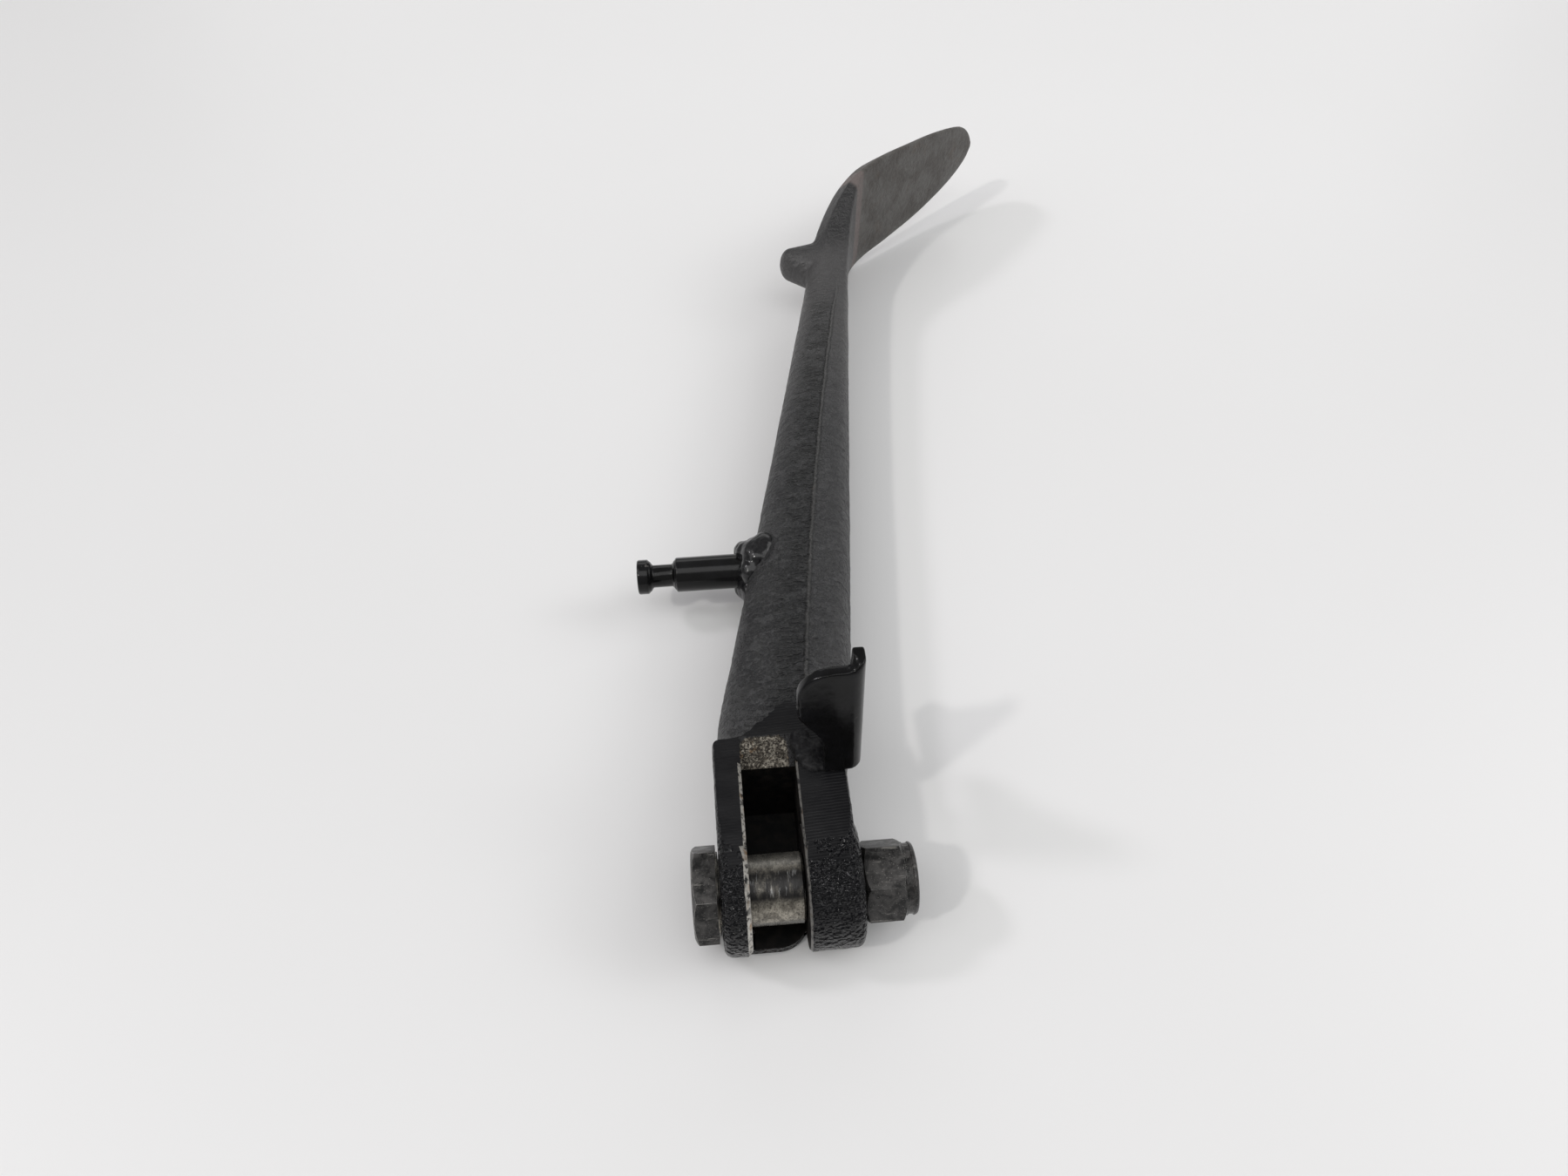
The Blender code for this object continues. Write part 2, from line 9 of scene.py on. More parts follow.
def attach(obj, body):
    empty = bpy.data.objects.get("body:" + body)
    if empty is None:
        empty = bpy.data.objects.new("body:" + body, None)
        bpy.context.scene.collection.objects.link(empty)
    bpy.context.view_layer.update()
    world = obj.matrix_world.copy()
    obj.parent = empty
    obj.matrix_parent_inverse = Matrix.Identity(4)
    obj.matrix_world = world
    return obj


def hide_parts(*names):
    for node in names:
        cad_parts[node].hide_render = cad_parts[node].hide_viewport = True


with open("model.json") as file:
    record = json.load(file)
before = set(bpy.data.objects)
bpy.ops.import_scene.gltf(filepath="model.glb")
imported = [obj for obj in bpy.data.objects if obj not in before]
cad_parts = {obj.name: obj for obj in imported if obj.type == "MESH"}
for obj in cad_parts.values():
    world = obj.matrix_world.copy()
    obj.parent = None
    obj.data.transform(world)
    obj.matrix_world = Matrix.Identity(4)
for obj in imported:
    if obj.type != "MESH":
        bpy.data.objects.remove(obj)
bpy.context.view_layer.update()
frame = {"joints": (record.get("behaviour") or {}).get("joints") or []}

MM = 0.001
PIVOT = Vector(frame["joints"][0]["pos_m"])
# The design is written from the pivot axis, with the table at Z = 0; this moves it to the frame
ORIGIN = Vector((PIVOT.x, PIVOT.y, 0))

# Clevis
EAR_RADIUS = PIVOT.z
CLEVIS_HEIGHT = 2 * EAR_RADIUS
CLEVIS_LEFT = -10.9 * MM
CLEVIS_RIGHT = 15.0 * MM
EAR_BOSS_RIGHT = 15.8 * MM
CLEVIS_BACK = 27.0 * MM
SLOT_LEFT = -5.5 * MM
SLOT_RIGHT = 5.2 * MM
SLOT_ROOT = 21.2 * MM
WEB_TOP = 2.0 * MM
WEB_FRONT = -7.7 * MM
STOP_FACE_BACK = 27.0 * MM
STOP_FACE_SLOPE = radians(27)

# Bolt and nut
SHOULDER_RADIUS = 6.7 * MM
HEAD_FACE = CLEVIS_LEFT - 0.3 * MM
HEAD_ACROSS_FLATS = 17.0 * MM
HEAD_THICKNESS = 5.0 * MM
HEAD_TURN = radians(4.4)
THREAD_RADIUS = 4.95 * MM
THREAD_PITCH = 1.25 * MM
THREAD_DEPTH = 0.65 * MM
BOLT_END = 26.4 * MM
NUT_FACE = EAR_BOSS_RIGHT + 0.3 * MM
NUT_ACROSS_FLATS = 14.0 * MM
NUT_HEX_END = NUT_FACE + 8.0 * MM
NUT_END = NUT_HEX_END + 2.2 * MM
NUT_COLLAR_RADIUS = 6.9 * MM
NUT_TURN = radians(7)

# Leg
LEG_AXIS_X = 7.1 * MM
LEG_AXIS_Y = 50.0 * MM
LEG_SLOPE = 0.1708
LEG_HALF_WIDTH = 13.0 * MM
LEG_TAPER = 0.0542

FLASH_START = 5.17 * MM
FLASH_SLOPE = 0.0866
FLASH_CURVE = 0.369

# Foot
FOOT_ROOT = Vector((42.9, 212.1, 0.0)) * MM
FOOT_HEADING = radians(49)
FOOT_THICKNESS = 5.4 * MM
SOLE_DEPTH = 2.4 * MM

# Post
POST_Y = 79.2 * MM
POST_Z = 12.6 * MM
POST_TIP_X = -25.9 * MM
POST_BASE_X = -1.1 * MM
POST_RADIUS = 4.0 * MM
GROOVE_RADIUS = 2.6 * MM

# Bracket
SHEET = 2.4 * MM
BRACKET_FOOT_Y = 18.6 * MM
BRACKET_LEAN = 0.125
BRACKET_BEND_RADIUS = 2.6 * MM
BRACKET_RIGHT = 17.9 * MM
BRACKET_HEIGHT = 27.6 * MM
TAB_RISE = 1.6 * MM

VOXEL = 0.55 * MM
SECTION_POINTS = 96
BAR_SECTIONS = 200
FAR = 60 * MM


# --------------------------------------------------------------------------- mesh helpers


def finish_mesh(name, bm):
    bmesh.ops.recalc_face_normals(bm, faces=bm.faces)
    mesh = bpy.data.meshes.new(name)
    bm.to_mesh(mesh)
    bm.free()
    return mesh


def new_object(name, mesh):
    obj = bpy.data.objects.new(name, mesh)
    bpy.context.scene.collection.objects.link(obj)
    return obj


def applied(obj):
    """The object's mesh with its modifiers applied and its place baked in."""
    bpy.context.view_layer.update()
    evaluated = obj.evaluated_get(bpy.context.evaluated_depsgraph_get())
    mesh = bpy.data.meshes.new_from_object(evaluated)
    mesh.transform(obj.matrix_world)
    name = obj.name
    bpy.data.objects.remove(obj)
    mesh.name = name
    return new_object(name, mesh)


def box(name, low, high):
    bm = bmesh.new()
    bmesh.ops.create_cube(bm, size=1)
    size = Vector(high) - Vector(low)
    middle = (Vector(high) + Vector(low)) / 2
    bm.transform(Matrix.Translation(middle) @ Matrix.Diagonal(size).to_4x4())
    return new_object(name, finish_mesh(name, bm))


def turned(name, profile, steps=96, y=0.0, z=EAR_RADIUS, wobble=None):
    """A profile of (x, radius) points turned about an axis along X; closed at both ends.

    wobble(x, angle) is added to the radius, for threads and lumpy welds.
    """
    bm = bmesh.new()
    rings = []
    for x, radius in profile:
        if radius <= 0:
            rings.append([bm.verts.new((x, y, z))])
            continue
        ring = []
        for i in range(steps):
            angle = 2 * pi * i / steps
            r = radius + (wobble(x, angle) if wobble else 0)
            ring.append(bm.verts.new((x, y + r * cos(angle), z + r * sin(angle))))
        rings.append(ring)
    pairs = list(zip(rings, rings[1:]))
    if len(rings[0]) > 1:
        pairs.append((rings[-1], rings[0]))
    for here, there in pairs:
        for i in range(steps):
            j = (i + 1) % steps
            corners = [here[i % len(here)], here[j % len(here)],
                       there[j % len(there)], there[i % len(there)]]
            bm.faces.new(list(dict.fromkeys(corners)))
    return new_object(name, finish_mesh(name, bm))


def prism(name, outline, thickness, matrix):
    """A closed outline in local XY, made solid along local Z and then placed."""
    bm = bmesh.new()
    bottom = [bm.verts.new((x, y, -thickness / 2)) for x, y in outline]
    face = bm.faces.new(bottom)
    lifted = bmesh.ops.extrude_face_region(bm, geom=[face])["geom"]
    raised = [item for item in lifted if isinstance(item, bmesh.types.BMVert)]
    bmesh.ops.translate(bm, verts=raised, vec=(0, 0, thickness))
    bm.transform(matrix)
    return new_object(name, finish_mesh(name, bm))


def arc(centre, radius, start, end, steps):
    angles = [radians(start + (end - start) * i / steps) for i in range(steps + 1)]
    return [(centre[0] + radius * cos(a), centre[1] + radius * sin(a)) for a in angles]


def bevel(obj, width, segments=3, angle=35, material=-1):
    modifier = obj.modifiers.new("bevel", "BEVEL")
    modifier.width = width
    modifier.segments = segments
    modifier.limit_method = "ANGLE"
    modifier.angle_limit = radians(angle)
    modifier.material = material


def boolean(obj, others, operation):
    """Cuts or joins one piece with several helpers, which are then removed."""
    for other in others:
        modifier = obj.modifiers.new(operation.lower(), "BOOLEAN")
        modifier.operation = operation
        modifier.solver = "MANIFOLD"
        modifier.object = other
    obj = applied(obj)
    for other in others:
        bpy.data.objects.remove(other)
    return obj


def merged(name, objects):
    """Overlapping solids as one mesh, for the voxel remesh to fuse."""
    bm = bmesh.new()
    for obj in objects:
        solid = applied(obj)
        bm.from_mesh(solid.data)
        bpy.data.objects.remove(solid)
    mesh = bpy.data.meshes.new(name)
    bm.to_mesh(mesh)
    bm.free()
    return new_object(name, mesh)


def shade(obj, angle=35):
    obj.data.shade_smooth()
    obj.data.set_sharp_from_angle(angle=radians(angle))


def place(obj, body, node, materials):
    """Moves a finished piece from the design to the frame and hands it over."""
    obj.data.transform(Matrix.Translation(ORIGIN))
    slots = obj.data.materials
    for index, material in enumerate(materials):
        if index < len(slots):
            slots[index] = material
        else:
            slots.append(material)
    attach(obj, body)
    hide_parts(node)
    return obj


def ease(value, low, high):
    t = min(max((value - low) / (high - low), 0), 1)
    return t * t * (3 - 2 * t)


def blend(rows, position):
    """Catmull-Rom through rows of numbers; position runs from 0 to len(rows) - 1."""
    index = min(int(position), len(rows) - 2)
    t = position - index
    before = rows[max(index - 1, 0)]
    here = rows[index]
    after = rows[index + 1]
    beyond = rows[min(index + 2, len(rows) - 1)]
    return [
        0.5 * (2 * b + (c - a) * t + (2 * a - 5 * b + 4 * c - d) * t * t
               + (3 * b - a - 3 * c + d) * t ** 3)
        for a, b, c, d in zip(before, here, after, beyond)
    ]


# --------------------------------------------------------------------------- forging


def leg_station(y, bottom, top, squareness, ridge, facet=0.0):
    y *= MM
    x = LEG_AXIS_X + LEG_SLOPE * (y - LEG_AXIS_Y)
    half = LEG_HALF_WIDTH - LEG_TAPER * (y - LEG_AXIS_Y)
    return [x, y, half, bottom * MM, top * MM, squareness, ridge, facet, -0.35, 3.0 * MM]


def foot_station(along, bottom, top, squareness=3.6, thickness=1.0, facet=0.85):
    run = along * MM
    x = FOOT_ROOT.x + run * sin(FOOT_HEADING)
    y = FOOT_ROOT.y + run * cos(FOOT_HEADING)
    half = thickness * FOOT_THICKNESS / 2
    return [x, y, half, bottom * MM, top * MM, squareness, 0.0, facet, 0.75, 3.6 * MM]


def bend_station(x, y, half, bottom, top, squareness, ridge, facet=0.0, left=0.0, drop=3.0):
    """A station in the bend; left is where the top facet ends, and drop the bevel's height."""
    sizes = [x * MM, y * MM, half * MM, bottom * MM, top * MM]
    return sizes + [squareness, ridge, facet, left, drop * MM]


STATIONS = [
    bend_station(2.4, 22.0, 12.4, -0.4, 25.3, 4.0, 0.1),
    leg_station(33, 0.2, 24.05, 2.8, 0.2),
    leg_station(50, 1.4, 23.4, 2.6, 0.2),
    leg_station(80, 3.5, 22.9, 2.5, 0.2),
    leg_station(110, 5.2, 22.2, 2.4, 0.2),
    leg_station(140, 6.6, 21.9, 2.4, 0.25),
    leg_station(165, 7.7, 21.8, 2.6, 0.3),
    leg_station(182, 7.6, 22.6, 2.8, 0.4, 0.3),
    bend_station(31.6, 192.0, 5.4, 4.6, 24.6, 2.8, 0.45, 0.9, -0.3, 4.0),
    bend_station(34.6, 200.5, 4.5, 1.8, 29.2, 3.0, 0.4, 1.0, -0.1, 5.0),
    bend_station(38.2, 207.2, 3.6, 1.4, 33.2, 3.2, 0.2, 1.0, 0.3, 5.0),
    foot_station(0, 2.4, 35.0, facet=1.0),
    foot_station(10, 3.4, 34.6),
    foot_station(20, 4.7, 33.5),
    foot_station(30, 6.6, 32.3, 3.6, 0.95),
    foot_station(39, 9.3, 30.4, 3.4, 0.9),
    foot_station(45, 11.6, 28.1, 3.0, 0.82, 0.6),
    foot_station(49.2, 14.4, 25.0, 2.6, 0.7, 0.3),
    foot_station(51.6, 17.6, 21.6, 2.2, 0.5, 0.0),
]


def faceted(angle, half, middle, top, left, drop):
    """The upper half as flats: side, ridge, top facet and a bevel down to the left side."""
    corners = [(half, middle), (half * 0.97, top), (left * half, top),
               (-half, top - drop), (-half, middle)]
    place_on = min(max(angle / (pi / 4), 0), 3.9999)
    index = int(place_on)
    share = place_on - index
    (s0, h0), (s1, h1) = corners[index], corners[index + 1]
    return s0 + (s1 - s0) * share, h0 + (h1 - h0) * share


def section_points(half, bottom, top, squareness, ridge, facet, left, drop):
    middle = (bottom + top) / 2
    crest = ridge * half
    points = []
    for i in range(SECTION_POINTS):
        angle = 2 * pi * i / SECTION_POINTS
        side = abs(cos(angle)) ** (2 / squareness)
        rise = abs(sin(angle)) ** (2 / squareness)
        upper = sin(angle) >= 0
        centre = crest if upper else 0.0
        reach = half - centre if cos(angle) >= 0 else -half - centre
        height = (top - middle) if upper else (bottom - middle)
        s, h = centre + reach * side, middle + height * rise
        if upper and facet > 0:
            flat_s, flat_h = faceted(angle, half, middle, top, left, drop)
            s, h = s + (flat_s - s) * facet, h + (flat_h - h) * facet
        points.append((s, h))
    return points


def bar(name):
    """The bar and blade as one loft through the stations."""
    last = len(STATIONS) - 1
    bm = bmesh.new()
    rings = []
    for i in range(BAR_SECTIONS + 1):
        position = last * i / BAR_SECTIONS
        x, y, *shape = blend(STATIONS, position)
        ahead = blend(STATIONS, min(position + 0.05, last))
        behind = blend(STATIONS, max(position - 0.05, 0))
        heading = atan2(ahead[0] - behind[0], ahead[1] - behind[1])
        ring = []
        for side, height in section_points(*shape):
            ring.append(bm.verts.new((x + side * cos(heading), y - side * sin(heading), height)))
        rings.append(ring)
    for ring, following in zip(rings, rings[1:]):
        for i in range(len(ring)):
            j = (i + 1) % len(ring)
            bm.faces.new((ring[i], ring[j], following[j], following[i]))
    bm.faces.new(rings[0])
    bm.faces.new(rings[-1])
    return new_object(name, finish_mesh(name, bm))


SIDE_VIEW = Matrix(((0, 0, 1, 0), (1, 0, 0, 0), (0, 1, 0, 0), (0, 0, 0, 1)))


def clevis_block():
    """Ears and root before milling, with rounded forged edges."""
    proud = [(3.5 * MM, 0.0), (10 * MM, 0.5 * MM), (CLEVIS_BACK, 0.8 * MM)]
    outline = arc((0, EAR_RADIUS), EAR_RADIUS, 270, 90, 48)
    outline += [(y, CLEVIS_HEIGHT + rise) for y, rise in proud]
    outline += [(y, -rise) for y, rise in reversed(proud)]
    middle = (CLEVIS_LEFT + CLEVIS_RIGHT) / 2
    block = prism("clevis_block", outline, CLEVIS_RIGHT - CLEVIS_LEFT,
                  Matrix.Translation((middle, 0, 0)) @ SIDE_VIEW)
    bevel(block, 1.4 * MM, 3, 60)
    return block


def ear_boss():
    edge = 1.6 * MM
    radius = EAR_RADIUS - 0.1 * MM
    profile = [(0, 0), (0, radius)]
    profile += [(EAR_BOSS_RIGHT - edge + edge * sin(a), radius - edge + edge * cos(a))
                for a in [pi / 2 * i / 6 for i in range(7)]]
    profile += [(EAR_BOSS_RIGHT, 0)]
    return turned("ear_boss", profile, 128)


def lump(centre, size, turn=0.0):
    """One rounded solid, in mm, turned about X."""
    bm = bmesh.new()
    bmesh.ops.create_icosphere(bm, subdivisions=4, radius=1)
    bm.transform(Matrix.Translation(Vector(centre) * MM) @ Matrix.Rotation(turn, 4, "X")
                 @ Matrix.Diagonal((*(Vector(size) * MM), 1)))
    return new_object("lump", finish_mesh("lump", bm))


def horn():
    """The spring's rest, a blunt nose that grows out of the bend."""
    steps = 9
    nose = []
    for i in range(steps):
        t = i / (steps - 1)
        centre = (19.9 + 9.8 * t, 190.8 - 1.6 * t, 16.0 - 0.6 * t)
        nose.append(lump(centre, (3.3 + 2.2 * t, 3.7 + 6.0 * t, 5.2 + 1.6 * t)))
    return nose


def slot_web():
    embed = 0.6 * MM
    left = SLOT_LEFT - embed
    right = SLOT_RIGHT + embed
    bend = 6.0 * MM
    back = SLOT_ROOT + embed
    outline = [(left, back), (left, WEB_FRONT)]
    outline += arc((right - bend, WEB_FRONT + bend), bend, 270, 325, 12)
    outline += [(right, WEB_FRONT + 0.6 * bend), (right, back)]
    return prism("slot_web", outline, 2 * WEB_TOP, Matrix())


def plane_box(name, point, normal, along):
    """A big box whose near face lies on a plane: it removes all that is outside."""
    normal = Vector(normal).normalized()
    along = Vector(along)
    along = (along - along.dot(normal) * normal).normalized()
    across = normal.cross(along)
    body = box(name, (-FAR, -FAR, 0), (FAR, FAR, FAR))
    axes = Matrix((along, across, normal)).transposed().to_4x4()
    body.data.transform(Matrix.Translation(Vector(point)) @ axes)
    return body


def flash_line_x(y):
    """Where the forging's flash line runs along the top of the leg."""
    return FLASH_START + y * (FLASH_SLOPE + FLASH_CURVE * y)


def forge_surface(mesh):
    """Flash line, hammered undulation and rough scale, as real shape on the remeshed skin."""
    normals = [Vector(vert.normal) for vert in mesh.vertices]
    for vert, normal in zip(mesh.vertices, normals):
        place_mm = vert.co / MM
        x, y, z = place_mm
        rough = 1 - 0.75 * ease(y, 95, 190)
        scale = Vector((x * 0.55, y * 0.75, z * 0.55))
        lift = 0.10 * rough * noise.noise(scale)
        lift += 0.05 * rough * noise.noise(scale * 2.3 + Vector((9, 4, 1)))
        lift += 0.10 * noise.noise(place_mm * 0.12 + Vector((3, 7, 5)))
        if normal.z > 0.3:
            away = x - flash_line_x(y * MM) / MM - 0.25 * noise.noise(Vector((0, y * 0.3, 0)))
            fade = ease(y, 33, 40) * (1 - ease(y, 165, 185))
            crest = 0.8 + 0.5 * noise.noise(Vector((4, y * 0.45, 2)))
            lift += 0.38 * fade * crest * exp(-(away / 0.6) ** 2)
            step = ease(away, -0.8, 0.2) - ease(away, 0.5, 7.0)
            lift += 0.22 * fade * step
        vert.co = vert.co + normal * lift * MM


def remeshed(obj, voxel, smoothing):
    remesh = obj.modifiers.new("remesh", "REMESH")
    remesh.mode = "VOXEL"
    remesh.voxel_size = voxel
    soften = obj.modifiers.new("soften", "SMOOTH")
    soften.factor = 0.5
    soften.iterations = smoothing
    return applied(obj)


def foot_frame(along, across, height):
    """A point given along the blade, behind its middle and above the table, in mm."""
    ahead = Vector((sin(FOOT_HEADING), cos(FOOT_HEADING), 0))
    behind = Vector((-cos(FOOT_HEADING), sin(FOOT_HEADING), 0))
    return FOOT_ROOT + ahead * along * MM + behind * across * MM + Vector((0, 0, height * MM))


PAINT, MILLED, BARE, WORN, DARK = range(5)


def chamfers():
    """Small cutters that break the slot's edges along the top and round both ears."""
    cutters = []
    for edge, side, reach in ((SLOT_LEFT, -1, 0.6 * MM), (SLOT_RIGHT, 1, 0.38 * MM)):
        corner = [(edge - side * 0.5 * MM, CLEVIS_HEIGHT - reach - 0.5 * MM),
                  (edge - side * 0.5 * MM, CLEVIS_HEIGHT + 0.5 * MM),
                  (edge + side * (reach + 0.5 * MM), CLEVIS_HEIGHT + 0.5 * MM)]
        worn_and_lit_strip = Matrix(((1, 0, 0, 0), (0, 0, -1, 0), (0, 1, 0, 0), (0, 0, 0, 1)))
        length = SLOT_ROOT
        cutters.append(prism("slot_chamfer", corner, length,
                             Matrix.Translation((0, length / 2, 0)) @ worn_and_lit_strip))
        outer = EAR_RADIUS + 0.5 * MM
        round_reach = reach + (0.3 * MM if side < 0 else 0)
        profile = [(edge - side * 0.5 * MM, EAR_RADIUS - round_reach - 0.5 * MM),
                   (edge - side * 0.5 * MM, outer),
                   (edge + side * (round_reach + 0.5 * MM), outer)]
        cutters.append(turned("ear_chamfer", profile, 128))
    return cutters


def build_leg():
    raw = merged("stand_leg_forging", [bar("bar"), clevis_block(), ear_boss()] + horn())
    forging = remeshed(raw, VOXEL, 5)
    forge_surface(forging.data)

    slot = box("slot", (SLOT_LEFT, -FAR, -FAR), (SLOT_RIGHT, SLOT_ROOT, FAR))
    stop = box("stop_face", (SLOT_LEFT, -FAR, 0), (SLOT_RIGHT, 0, FAR))
    stop.data.transform(Matrix.Translation((0, STOP_FACE_BACK, CLEVIS_HEIGHT))
                        @ Matrix.Rotation(STOP_FACE_SLOPE, 4, "X"))
    forging = boolean(forging, [slot], "DIFFERENCE")
    forging = boolean(forging, [slot_web()], "UNION")
    sole = plane_box("sole", foot_frame(24, SOLE_DEPTH / MM, 18),
                     (-cos(FOOT_HEADING), sin(FOOT_HEADING), 0), (0, 0, 1))
    shoulder = turned("shoulder_bore", [(-FAR, 0), (-FAR, SHOULDER_RADIUS + 0.1 * MM),
                                        (0, SHOULDER_RADIUS + 0.1 * MM), (0, 0)], 96)
    thread = turned("thread_bore", [(0, 0), (0, THREAD_RADIUS + 0.15 * MM),
                                    (FAR, THREAD_RADIUS + 0.15 * MM), (FAR, 0)], 96)
    cuts = [
        box("milled_top", (-FAR, -FAR, CLEVIS_HEIGHT), (FAR, 36 * MM, FAR)),
        box("milled_bottom", (-FAR, -FAR, -FAR), (FAR, 60 * MM, 0)),
        stop, shoulder, thread, sole,
    ]
    leg = boolean(forging, cuts + chamfers(), "DIFFERENCE")
    leg.name = "stand_leg_forging"
    paint_faces(leg.data)
    return leg


def paint_faces(mesh):
    """Gives each machined face its own finish and a crisp edge."""
    tight = 0.02 * MM
    stop_normal = Vector((0, -sin(STOP_FACE_SLOPE), cos(STOP_FACE_SLOPE)))
    for face in mesh.polygons:
        x, y, z = face.center
        n = face.normal
        finish = PAINT
        near_pivot = y < 60 * MM
        if near_pivot and abs(z - CLEVIS_HEIGHT) < tight and n.z > 0.99:
            finish = MILLED
        elif near_pivot and abs(z) < tight and n.z < -0.99:
            finish = MILLED
        elif SLOT_LEFT - tight < x < SLOT_RIGHT + tight and y < 28 * MM:
            inside = abs(x - SLOT_LEFT) < tight or abs(x - SLOT_RIGHT) < tight
            if inside or abs(y - SLOT_ROOT) < tight or abs(z - WEB_TOP) < tight:
                finish = DARK
            if n.dot(stop_normal) > 0.999 and z > 15 * MM:
                finish = BARE
        if finish == PAINT and near_pivot and 0.6 < abs(n.x) < 0.85 and y < 28 * MM:
            if -8 * MM < x < 7 * MM and abs((Vector((0, y, z)) - Vector((0, 0, EAR_RADIUS))).length
                                            - EAR_RADIUS + 0.3 * MM) < 0.5 * MM:
                finish = WORN
            if -8 * MM < x < 7 * MM and z > CLEVIS_HEIGHT - 1 * MM:
                finish = WORN
        if (Vector((0, y, z)) - Vector((0, 0, EAR_RADIUS))).length < SHOULDER_RADIUS + 0.2 * MM:
            finish = DARK
        face.material_index = finish
    mesh.shade_smooth()
    mesh.set_sharp_from_angle(angle=radians(38))
    sides = {}
    for face in mesh.polygons:
        for key in face.edge_keys:
            sides.setdefault(key, set()).add(face.material_index)
    sharp = mesh.attributes["sharp_edge"].data
    for edge in mesh.edges:
        if len(sides.get(edge.key, ())) > 1:
            sharp[edge.index].value = True


# --------------------------------------------------------------------------- welded pieces


def rounded_step(x_from, x_to, r_from, r_to):
    """Points on an S-shaped shoulder between two radii."""
    steps = 5
    return [(x_from + (x_to - x_from) * i / steps,
             r_from + (r_to - r_from) * ease(i / steps, 0, 1)) for i in range(1, steps)]


def build_post():
    tip = POST_TIP_X
    edge = 0.45 * MM
    head_end = tip + 2.8 * MM
    groove_end = head_end + 6.0 * MM
    profile = [(POST_BASE_X, 0), (POST_BASE_X, POST_RADIUS), (groove_end + edge, POST_RADIUS)]
    profile += [(groove_end + edge - edge * sin(a), POST_RADIUS - edge + edge * cos(a))
                for a in [pi / 8 * i for i in range(1, 5)]]
    profile += rounded_step(groove_end, groove_end - 0.9 * MM, POST_RADIUS - edge, GROOVE_RADIUS)
    profile += [(groove_end - 0.9 * MM, GROOVE_RADIUS), (head_end + 0.9 * MM, GROOVE_RADIUS)]
    profile += rounded_step(head_end + 0.9 * MM, head_end, GROOVE_RADIUS, POST_RADIUS - edge)
    profile += [(head_end - edge * sin(a), POST_RADIUS - edge + edge * sin(a))
                for a in [pi / 8 * i for i in range(5)]]
    profile += [(tip + edge - edge * sin(a), POST_RADIUS - edge + edge * cos(a))
                for a in [pi / 8 * i for i in range(5)]]
    profile += [(tip, 1.2 * MM), (tip + 0.5 * MM, 0.5 * MM), (tip + 0.6 * MM, 0)]
    post = turned("spring_post_turned", profile[::-1], 96, POST_Y, POST_Z)
    shade(post)
    return post


def bead_run(name, beads, ripple):
    """Beads of weld metal fused into one skin with a soft ripple, in mm."""
    weld = remeshed(merged(name, beads), 0.35 * MM, 14)
    for vert in weld.data.vertices:
        at = vert.co / MM
        swell = noise.noise(at * 0.55) + 0.5 * noise.noise(at * 1.3)
        vert.co += vert.normal * ripple * swell * MM
    shade(weld, 60)
    return weld


def build_post_weld():
    """Beads laid one after another round the post's foot, and a run up onto the leg's shoulder."""
    y, z = POST_Y / MM, POST_Z / MM
    beads = []
    count = 6
    for i in range(count):
        angle = 2 * pi * i / count + 0.2
        upper = max(sin(angle), 0)
        reach = 4.9 + 0.35 * sin(3.1 * i)
        centre = (-1.0 + 1.4 * upper, y + reach * cos(angle), z + reach * sin(angle))
        beads.append(lump(centre, (2.6 + 0.4 * sin(1.7 * i) + 0.5 * upper, 2.7, 2.7), angle))
    beads.append(lump((2.3, y - 0.2, z + 5.9), (4.1, 4.6, 3.3)))
    beads.append(lump((3.6, y + 1.2, z + 7.2), (2.6, 3.6, 2.2)))
    beads.append(lump((0.2, y - 3.8, z + 4.4), (2.8, 3.0, 2.8)))
    beads.append(lump((-0.8, y - 6.8, z + 0.6), (1.6, 3.4, 2.8)))
    return bead_run("spring_post_bead", beads, 0.14)


def bracket_left(height):
    neck = 10.3 * MM
    lobe = 5.2 * MM
    corner = 6.8 * MM
    edge = neck + (lobe - neck) * ease(height, 7.5 * MM, 17.5 * MM)
    over = height - (BRACKET_HEIGHT - corner)
    if over > 0:
        edge += corner - sqrt(max(corner * corner - over * over, 0))
    return edge


def bracket_back(height):
    lobe = 15.0 * MM
    middle = 9.0 * MM
    tab = 2.4 * MM
    reach = lobe + (middle - lobe) * ease(height, 4 * MM, 12 * MM)
    return reach + (tab - middle) * ease(height, 10 * MM, 27 * MM)


def build_bracket():
    """The folded sheet: a plate that faces forwards and a flange along its right side."""
    rows = 64
    columns = 64
    radius = BRACKET_BEND_RADIUS - SHEET / 2
    bend_x = BRACKET_RIGHT - BRACKET_BEND_RADIUS
    bend_length = radius * pi / 2
    bm = bmesh.new()
    bmesh.ops.create_grid(bm, x_segments=columns, y_segments=rows, size=0.5)
    for vert in bm.verts:
        up = vert.co.y + 0.5
        height = up * BRACKET_HEIGHT
        left = bracket_left(height)
        flat = bend_x - left
        along = (vert.co.x + 0.5) * (flat + bend_length + bracket_back(height))
        if along < flat:
            x, y = left + along, 0.0
        elif along < flat + bend_length:
            turn = (along - flat) / radius
            x, y = bend_x + radius * sin(turn), radius * (1 - cos(turn))
        else:
            x, y = bend_x + radius, radius + along - flat - bend_length
        rise = ease(x, bend_x - 0.6 * MM, bend_x + 1.6 * MM) * TAB_RISE * ease(up, 0.5, 1)
        dent = 0.12 * MM * noise.noise(Vector((x, y, height)) / MM * 0.12)
        vert.co = (x, BRACKET_FOOT_Y + y + dent + BRACKET_LEAN * height,
                   CLEVIS_HEIGHT + 0.3 * MM + height + rise)
    bracket = new_object("stop_bracket_sheet", finish_mesh("stop_bracket_sheet", bm))
    sheet = bracket.modifiers.new("sheet", "SOLIDIFY")
    sheet.thickness = SHEET
    sheet.offset = 0
    bracket = remeshed(bracket, 0.32 * MM, 9)
    shade(bracket, 60)
    return bracket


